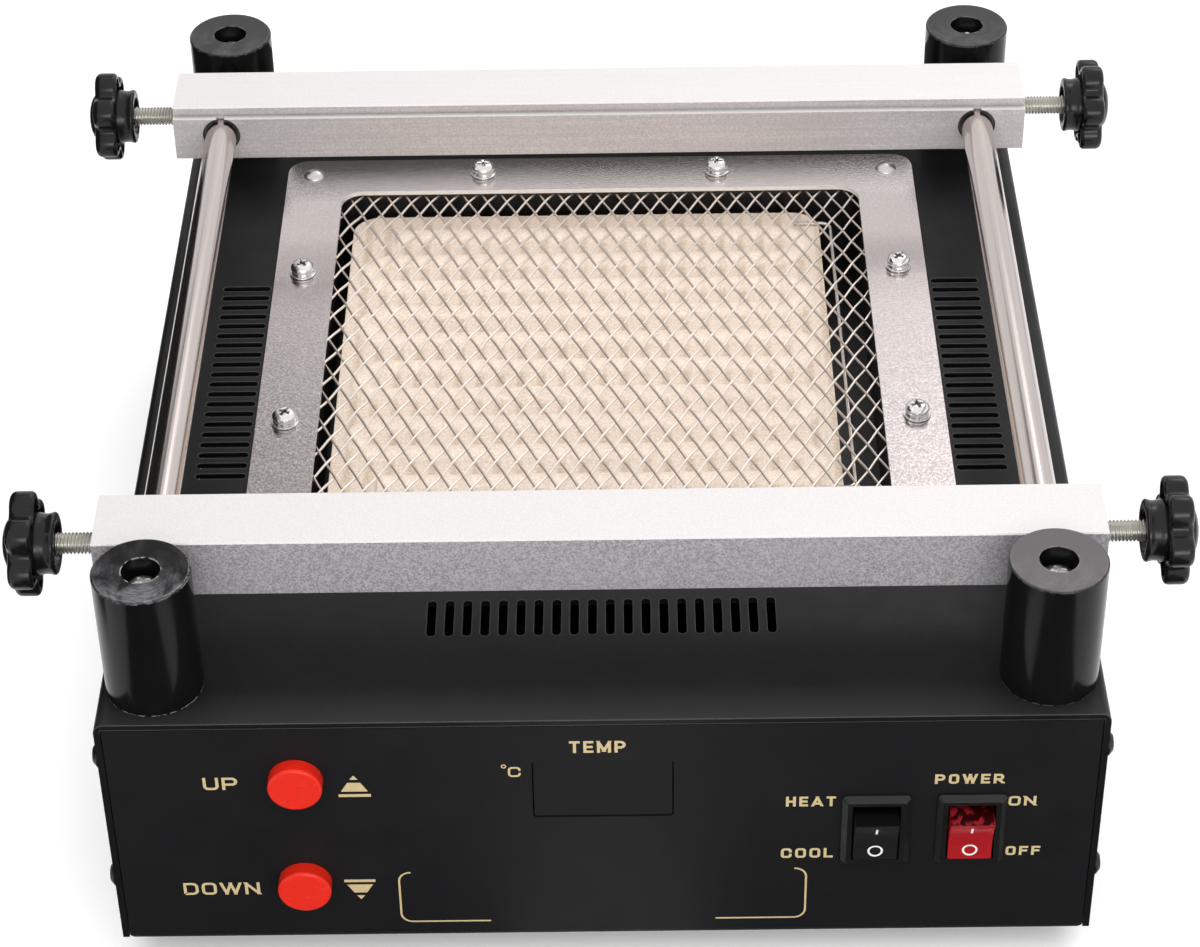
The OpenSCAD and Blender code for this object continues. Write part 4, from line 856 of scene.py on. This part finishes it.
def glyph(letter, w, h):
    """Centre lines of one wide capital in a box of that size."""
    q = min(w, h) * 0.3
    big = q * 1.3
    bowl = h * 0.29
    top_left, top_right = arc(q, h - q, q, 180, 90), arc(w - q, h - q, q, 90, 0)
    low_right, low_left = arc(w - q, q, q, 0, -90), arc(q, q, q, 270, 180)
    stem = [(0, 0), (0, h)]
    p_bowl = [(0, h)] + arc(w - bowl, h - bowl, bowl, 90, -90) + [(0, h - 2 * bowl)]
    d_bowl = arc(w - big, h - big, big, 90, 0) + arc(w - big, big, big, 0, -90)
    rows = {
        "U": [[(0, h)] + low_left[::-1] + low_right[::-1] + [(w, h)]],
        "P": [stem, p_bowl],
        "D": [stem + d_bowl + [(0, 0)]],
        "O": [top_left + top_right + low_right + low_left + [(0, h - q)]],
        "W": [[(0, h), (0.26 * w, 0)], [(0.26 * w, 0), (0.5 * w, h)],
              [(0.5 * w, h), (0.74 * w, 0)], [(0.74 * w, 0), (w, h)]],
        "N": [stem, [(0, h), (w, 0)], [(w, 0), (w, h)]],
        "T": [[(0, h), (w, h)], [(w / 2, h), (w / 2, 0)]],
        "E": [[(w, h), (0, h), (0, 0), (w, 0)], [(0, h / 2), (w * 0.9, h / 2)]],
        "M": [stem, [(0, h), (w / 2, 0.1 * h)], [(w / 2, 0.1 * h), (w, h)], [(w, h), (w, 0)]],
        "C": [[(w, h * 0.72)] + top_right[::-1] + top_left[::-1]
              + low_left[::-1] + low_right[::-1] + [(w, h * 0.28)]],
        "H": [stem, [(w, 0), (w, h)], [(0, h / 2), (w, h / 2)]],
        "A": [[(0, 0), (w / 2, h)], [(w / 2, h), (w, 0)], [(0.2 * w, 0.22 * h), (0.8 * w, 0.22 * h)]],
        "L": [[(0, h), (0, 0), (w, 0)]],
        "F": [[(w, h), (0, h), (0, 0)], [(0, h / 2), (w * 0.88, h / 2)]],
        "R": [stem, p_bowl, [(0.45 * w, 0.42 * h), (w, 0)]],
    }
    return rows[letter]


def slanted(points, width):
    """A leaning stroke whose ends are cut level, half its width beyond its points."""
    (x1, z1), (x2, z2) = sorted(points, key=lambda point: point[1])
    lean = (x2 - x1) / (z2 - z1)
    half = width / 2 * math.hypot(1, lean)
    x1, z1, x2, z2 = x1 - lean * width / 2, z1 - width / 2, x2 + lean * width / 2, z2 + width / 2
    return [[(x1 - half, z1), (x1 + half, z1), (x2 + half, z2), (x2 - half, z2)]]


def squared(points, width):
    """Lengthens an open line by half its width at each end."""
    if points[0] == points[-1]:
        return points
    first, last = Vector(points[0]), Vector(points[-1])
    a = (first - Vector(points[1])).normalized() * width / 2
    b = (last - Vector(points[-2])).normalized() * width / 2
    return [tuple(first + a)] + list(points[1:-1]) + [tuple(last + b)]


def legend(name, text, x1, x2, z1, z2, width=0.68):
    """Wide capitals that fill a box given in mm from the middle and from the case's bottom."""
    gap = 0.75
    total = sum(GLYPH_WIDTH.get(c, 1.0) for c in text)
    unit = (x2 - x1 - gap * (len(text) - 1)) / total
    at, strips = x1, []
    for c in text:
        box_w = unit * GLYPH_WIDTH.get(c, 1.0)
        for row in glyph(c, box_w - width, z2 - z1 - width):
            moved = [(x + at + width / 2, z + z1 + width / 2) for x, z in row]
            leans = len(row) == 2 and row[0][0] != row[1][0] and row[0][1] != row[1][1]
            strips.append(slanted(moved, width) if leans else stroke(squared(moved, width), width))
        at += box_w + gap
    flat_print(name, strips)


legend("legend_up", "UP", -87.6, -80.0, 47.5, 51.2)
legend("legend_down", "DOWN", -94.8, -77.6, 14.8, 18.6)
legend("legend_temp", "TEMP", -7.2, 5.1, 57.4, 60.9)
legend("legend_celsius", "C", -20.7, -17.9, 50.4, 53.4, 0.5)
legend("legend_heat", "HEAT", 40.2, 51.2, 40.4, 43.4, 0.64)
legend("legend_cool", "COOL", 39.4, 51.0, 24.4, 27.4, 0.64)
legend("legend_power", "POWER", 72.7, 87.8, 46.8, 49.7, 0.64)
legend("legend_on", "ON", 89.2, 95.3, 39.9, 42.8, 0.62)
legend("legend_off", "OFF", 89.5, 97.2, 24.5, 27.3, 0.62)
flat_print("legend_degree", [stroke(arc(-21.6, 53.6, 0.45, 0, 360, 20), 0.3)])


def arrow_icon(name, x1, x2, z1, z2, up):
    """A small triangle over a shorter bar over a full bar, or the same upside down."""
    cx, w, h = (x1 + x2) / 2, x2 - x1, z2 - z1

    def at(u, v):
        return (cx + u * w, z1 + (v if up else 1 - v) * h)

    flat_print(name, [[
        [at(-0.13, 0.8), at(0.13, 0.8), at(0, 1.0)],
        [at(-0.42, 0.25), at(0.42, 0.25), at(0.2, 0.66), at(-0.2, 0.66)],
        [at(-0.5, 0.0), at(0.5, 0.0), at(0.5, 0.13), at(-0.5, 0.13)],
    ]])


arrow_icon("icon_up", -58.1, -51.0, 44.9, 51.4, True)
arrow_icon("icon_down", -58.5, -51.5, 12.8, 19.1, False)


# Marks on the rockers' hollow faces

ROCKER_TIP = math.radians(14)
ROCKER_PIVOT = Vector((0, -121.9, 41.4)) * MM


def rocker_mark(name, body, x_mid, strips):
    """Strips of (x, height) in mm on a rocker's face, which is an arc tipped about the pivot."""
    half, dip, pivot, lift, film = 7.0, 1.2, 2.9, 0.4, 0.03
    reach = pivot + half * math.sin(ROCKER_TIP) + lift
    radius = (half * half + dip * dip) / (2 * dip)
    shape = Shape()
    for strip in strips:
        base = len(shape.points)
        for x, v in strip:
            u = -reach + dip - radius + math.sqrt(radius * radius - v * v) - film
            y = u * math.cos(ROCKER_TIP) - v * math.sin(ROCKER_TIP)
            z = u * math.sin(ROCKER_TIP) + v * math.cos(ROCKER_TIP)
            shape.points.append(ROCKER_PIVOT + Vector((x_mid + x, y, z)) * MM)
        shape.faces.append(tuple(range(base, base + len(strip))))
    return link(shape, name, body, WHITE, 60)


for rocker, rocker_x in (("heat_rocker", 60.2), ("power_rocker", 81.2)):
    rocker_mark(rocker + "_off_mark", rocker, rocker_x, stroke(arc(0, -4.2, 1.5, 0, 360, 32), 0.45))
    rocker_mark(rocker + "_on_mark", rocker, rocker_x, stroke([(0, 2.4), (0, 3.7), (0, 5.0)], 0.5))


# Bracket lines at the panel's lower edge

def bracket(name, side, outer, start, end):
    """A line down from a top end, round a corner and in along the bottom; side is -1 on the left."""
    r, top, bottom = 2.6, 21.1, 5.4
    cx = side * (outer - r)
    middle = 90 - 90 * side
    bend = arc(cx, top - r, r, 90, middle) + arc(cx, bottom + r, r, middle, middle - 90 * side)
    flat_print(name, [stroke([(start, top)] + bend + [(end, bottom)], 0.45)])


bracket("bracket_left", -1, 46.2, -43.5, -26)
bracket("bracket_right", 1, 45.2, 42.5, 25)


# Floor, light and camera

def plain_mesh(name, corners, material):
    """One flat face, in metres, for the floor or a card."""
    mesh = bpy.data.meshes.new(name)
    mesh.from_pydata(corners, [], [tuple(range(len(corners)))])
    mesh.materials.append(material)
    made = bpy.data.objects.new(name, mesh)
    scene.collection.objects.link(made)
    return made


def floor():
    """A pale floor that takes the shadow and grows white towards the far edge."""
    size, z = 6.0, -0.0002
    look = Look("floor_white", (0.86, 0.86, 0.86), 0.9, Specular_IOR_Level=0.1)
    pale = look.steps(look.vectors("LENGTH", look.coordinates), 0.4, 1.6, 0.22, 1.0)
    look.put("Emission Color", (1, 1, 1, 1))
    look.put("Emission Strength", look.product(look.node("LightPath").outputs["Is Camera Ray"], pale))
    corners = [(-size, -size, z), (size, -size, z), (size, size, z), (-size, size, z)]
    plain_mesh("floor", corners, look.material)


def world():
    """White to the eye and in mirrors, dimmer as a light."""
    made = bpy.data.worlds.new("studio")
    scene.world = made
    made.use_nodes = True
    tree = made.node_tree
    back = tree.nodes["Background"]
    ray = tree.nodes.new("ShaderNodeLightPath")
    seen = ray.outputs["Is Camera Ray"]
    for other in ("Is Glossy Ray", "Is Transmission Ray"):
        either = tree.nodes.new("ShaderNodeMath")
        either.operation = "MAXIMUM"
        tree.links.new(seen, either.inputs[0])
        tree.links.new(ray.outputs[other], either.inputs[1])
        seen = either.outputs[0]
    strength = tree.nodes.new("ShaderNodeMapRange")
    tree.links.new(seen, strength.inputs["Value"])
    strength.inputs["To Min"].default_value = 0.45
    strength.inputs["To Max"].default_value = 1.0
    tree.links.new(strength.outputs["Result"], back.inputs["Strength"])
    back.inputs["Color"].default_value = (1, 1, 1, 1)


def lamp(name, place, size, power):
    """A rectangular lamp that points at the middle of the station."""
    aim = Vector((0, 0, 0.08))
    data = bpy.data.lights.new(name, "AREA")
    data.shape = "RECTANGLE"
    data.size, data.size_y = size
    data.energy = power
    made = bpy.data.objects.new(name, data)
    scene.collection.objects.link(made)
    made.location = place
    made.rotation_euler = (aim - Vector(place)).to_track_quat("-Z", "Y").to_euler()
    return made


def card(name, corners, strength=0.02):
    """A card that only mirrors in front of it can see, so that polished faces have something to show."""
    material = bpy.data.materials.new(name)
    material.use_nodes = True
    tree = material.node_tree
    tree.nodes.remove(tree.nodes["Principled BSDF"])
    glow = tree.nodes.new("ShaderNodeEmission")
    glow.inputs["Color"].default_value = (1, 0.98, 0.97, 1)
    glow.inputs["Strength"].default_value = strength
    side = tree.nodes.new("ShaderNodeNewGeometry")
    pick = tree.nodes.new("ShaderNodeMixShader")
    tree.links.new(side.outputs["Backfacing"], pick.inputs[0])
    tree.links.new(glow.outputs[0], pick.inputs[1])
    tree.links.new(tree.nodes.new("ShaderNodeBsdfTransparent").outputs[0], pick.inputs[2])
    tree.links.new(pick.outputs[0], tree.nodes["Material Output"].inputs["Surface"])
    made = plain_mesh(name, corners, material)
    made.visible_camera = False
    made.visible_diffuse = False
    made.visible_transmission = False
    made.visible_volume_scatter = False
    made.visible_shadow = False


def facing_front(x1, x2, y, z1, z2):
    """Corners of an upright rectangle that shines towards -Y."""
    return [(x1, y, z1), (x2, y, z1), (x2, y, z2), (x1, y, z2)]


def facing_down(x1, x2, y1, y2, z):
    """Corners of a level rectangle that shines down."""
    return [(x1, y1, z), (x1, y2, z), (x2, y2, z), (x2, y1, z)]


def facing_up(x1, x2, y1, y2, z):
    """Corners of a level rectangle that shines up."""
    return facing_down(x1, x2, y1, y2, z)[::-1]


def cards():
    """Dim cards for posts, rod and plate; bright ones for the glare, the glints and the rear bar's image."""
    low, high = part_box("rear_bar")
    gap = 0.0002
    ledge_z = high.z - 0.0026
    card("card_front_left", facing_up(-0.1727, -0.0227, -0.9, -0.125, 0.001))
    card("card_front_right", facing_up(0.0227, 0.1727, -0.9, -0.125, 0.001))
    card("card_left", facing_front(-0.8, -0.2, 1.5, 1.18, 1.6), 0.2)
    beside = [(-0.22, 0.25, 0.0), (-0.22, 0.25, 0.36), (-0.22, -0.12, 0.36), (-0.22, -0.12, 0.0)]
    card("card_beside", beside)
    card("card_glare", facing_front(0.16, 0.5, 1.5, 1.22, 1.55), 1.85)
    card("card_glint", facing_down(-1.2, -0.8, -0.4, 0.0, 1.3), 5.0)
    x, y = 0.086, 0.118
    card("card_back", [(-x, y, 0.0765), (x, y, 0.0765), (x, y, 0.0965), (-x, y, 0.0979)], 0.12)
    card("card_under_bar", facing_down(-0.1, 0.1, low.y, high.y, low.z - gap), 0.95)
    card("card_before_bar", facing_front(-0.09, 0.09, low.y - gap, low.z, ledge_z), 0.75)


def camera():
    """The photograph's camera, solved from points on the case, posts, rods, bars and plate."""
    pitch, yaw, roll = (math.radians(a) for a in (38.028, 0.399, -0.948))
    right0 = Vector((math.cos(yaw), math.sin(yaw), 0))
    ahead = Vector((-math.sin(yaw) * math.cos(pitch), math.cos(yaw) * math.cos(pitch), -math.sin(pitch)))
    up0 = right0.cross(ahead)
    right = math.cos(roll) * right0 + math.sin(roll) * up0
    up = -math.sin(roll) * right0 + math.cos(roll) * up0
    data = bpy.data.cameras.new("camera")
    data.sensor_fit = "HORIZONTAL"
    data.sensor_width = 36
    data.lens = 98.09
    data.shift_x = -0.00516
    data.shift_y = -0.0357
    data.clip_start = 0.02
    data.clip_end = 30
    made = bpy.data.objects.new("camera", data)
    scene.collection.objects.link(made)
    turn = Matrix((right, up, -ahead)).transposed()
    made.matrix_world = Matrix.Translation((0.00559, -0.63945, 0.55807)) @ turn.to_4x4()
    scene.camera = made


floor()
world()
# Polished faces don't mirror this lamp, because their tops would clip to white
overhead = lamp("key", (0.05, -0.3, 1.5), (2.4, 2.0), 31)
overhead.visible_glossy = False
lamp("right", (0.8, 1.5, 1.75), (0.8, 0.6), 5)
lamp("front", (0.25, -1.5, 0.55), (1.2, 0.5), 9)
cards()
camera()
scene.view_settings.view_transform = "Standard"

bpy.context.view_layer.update()
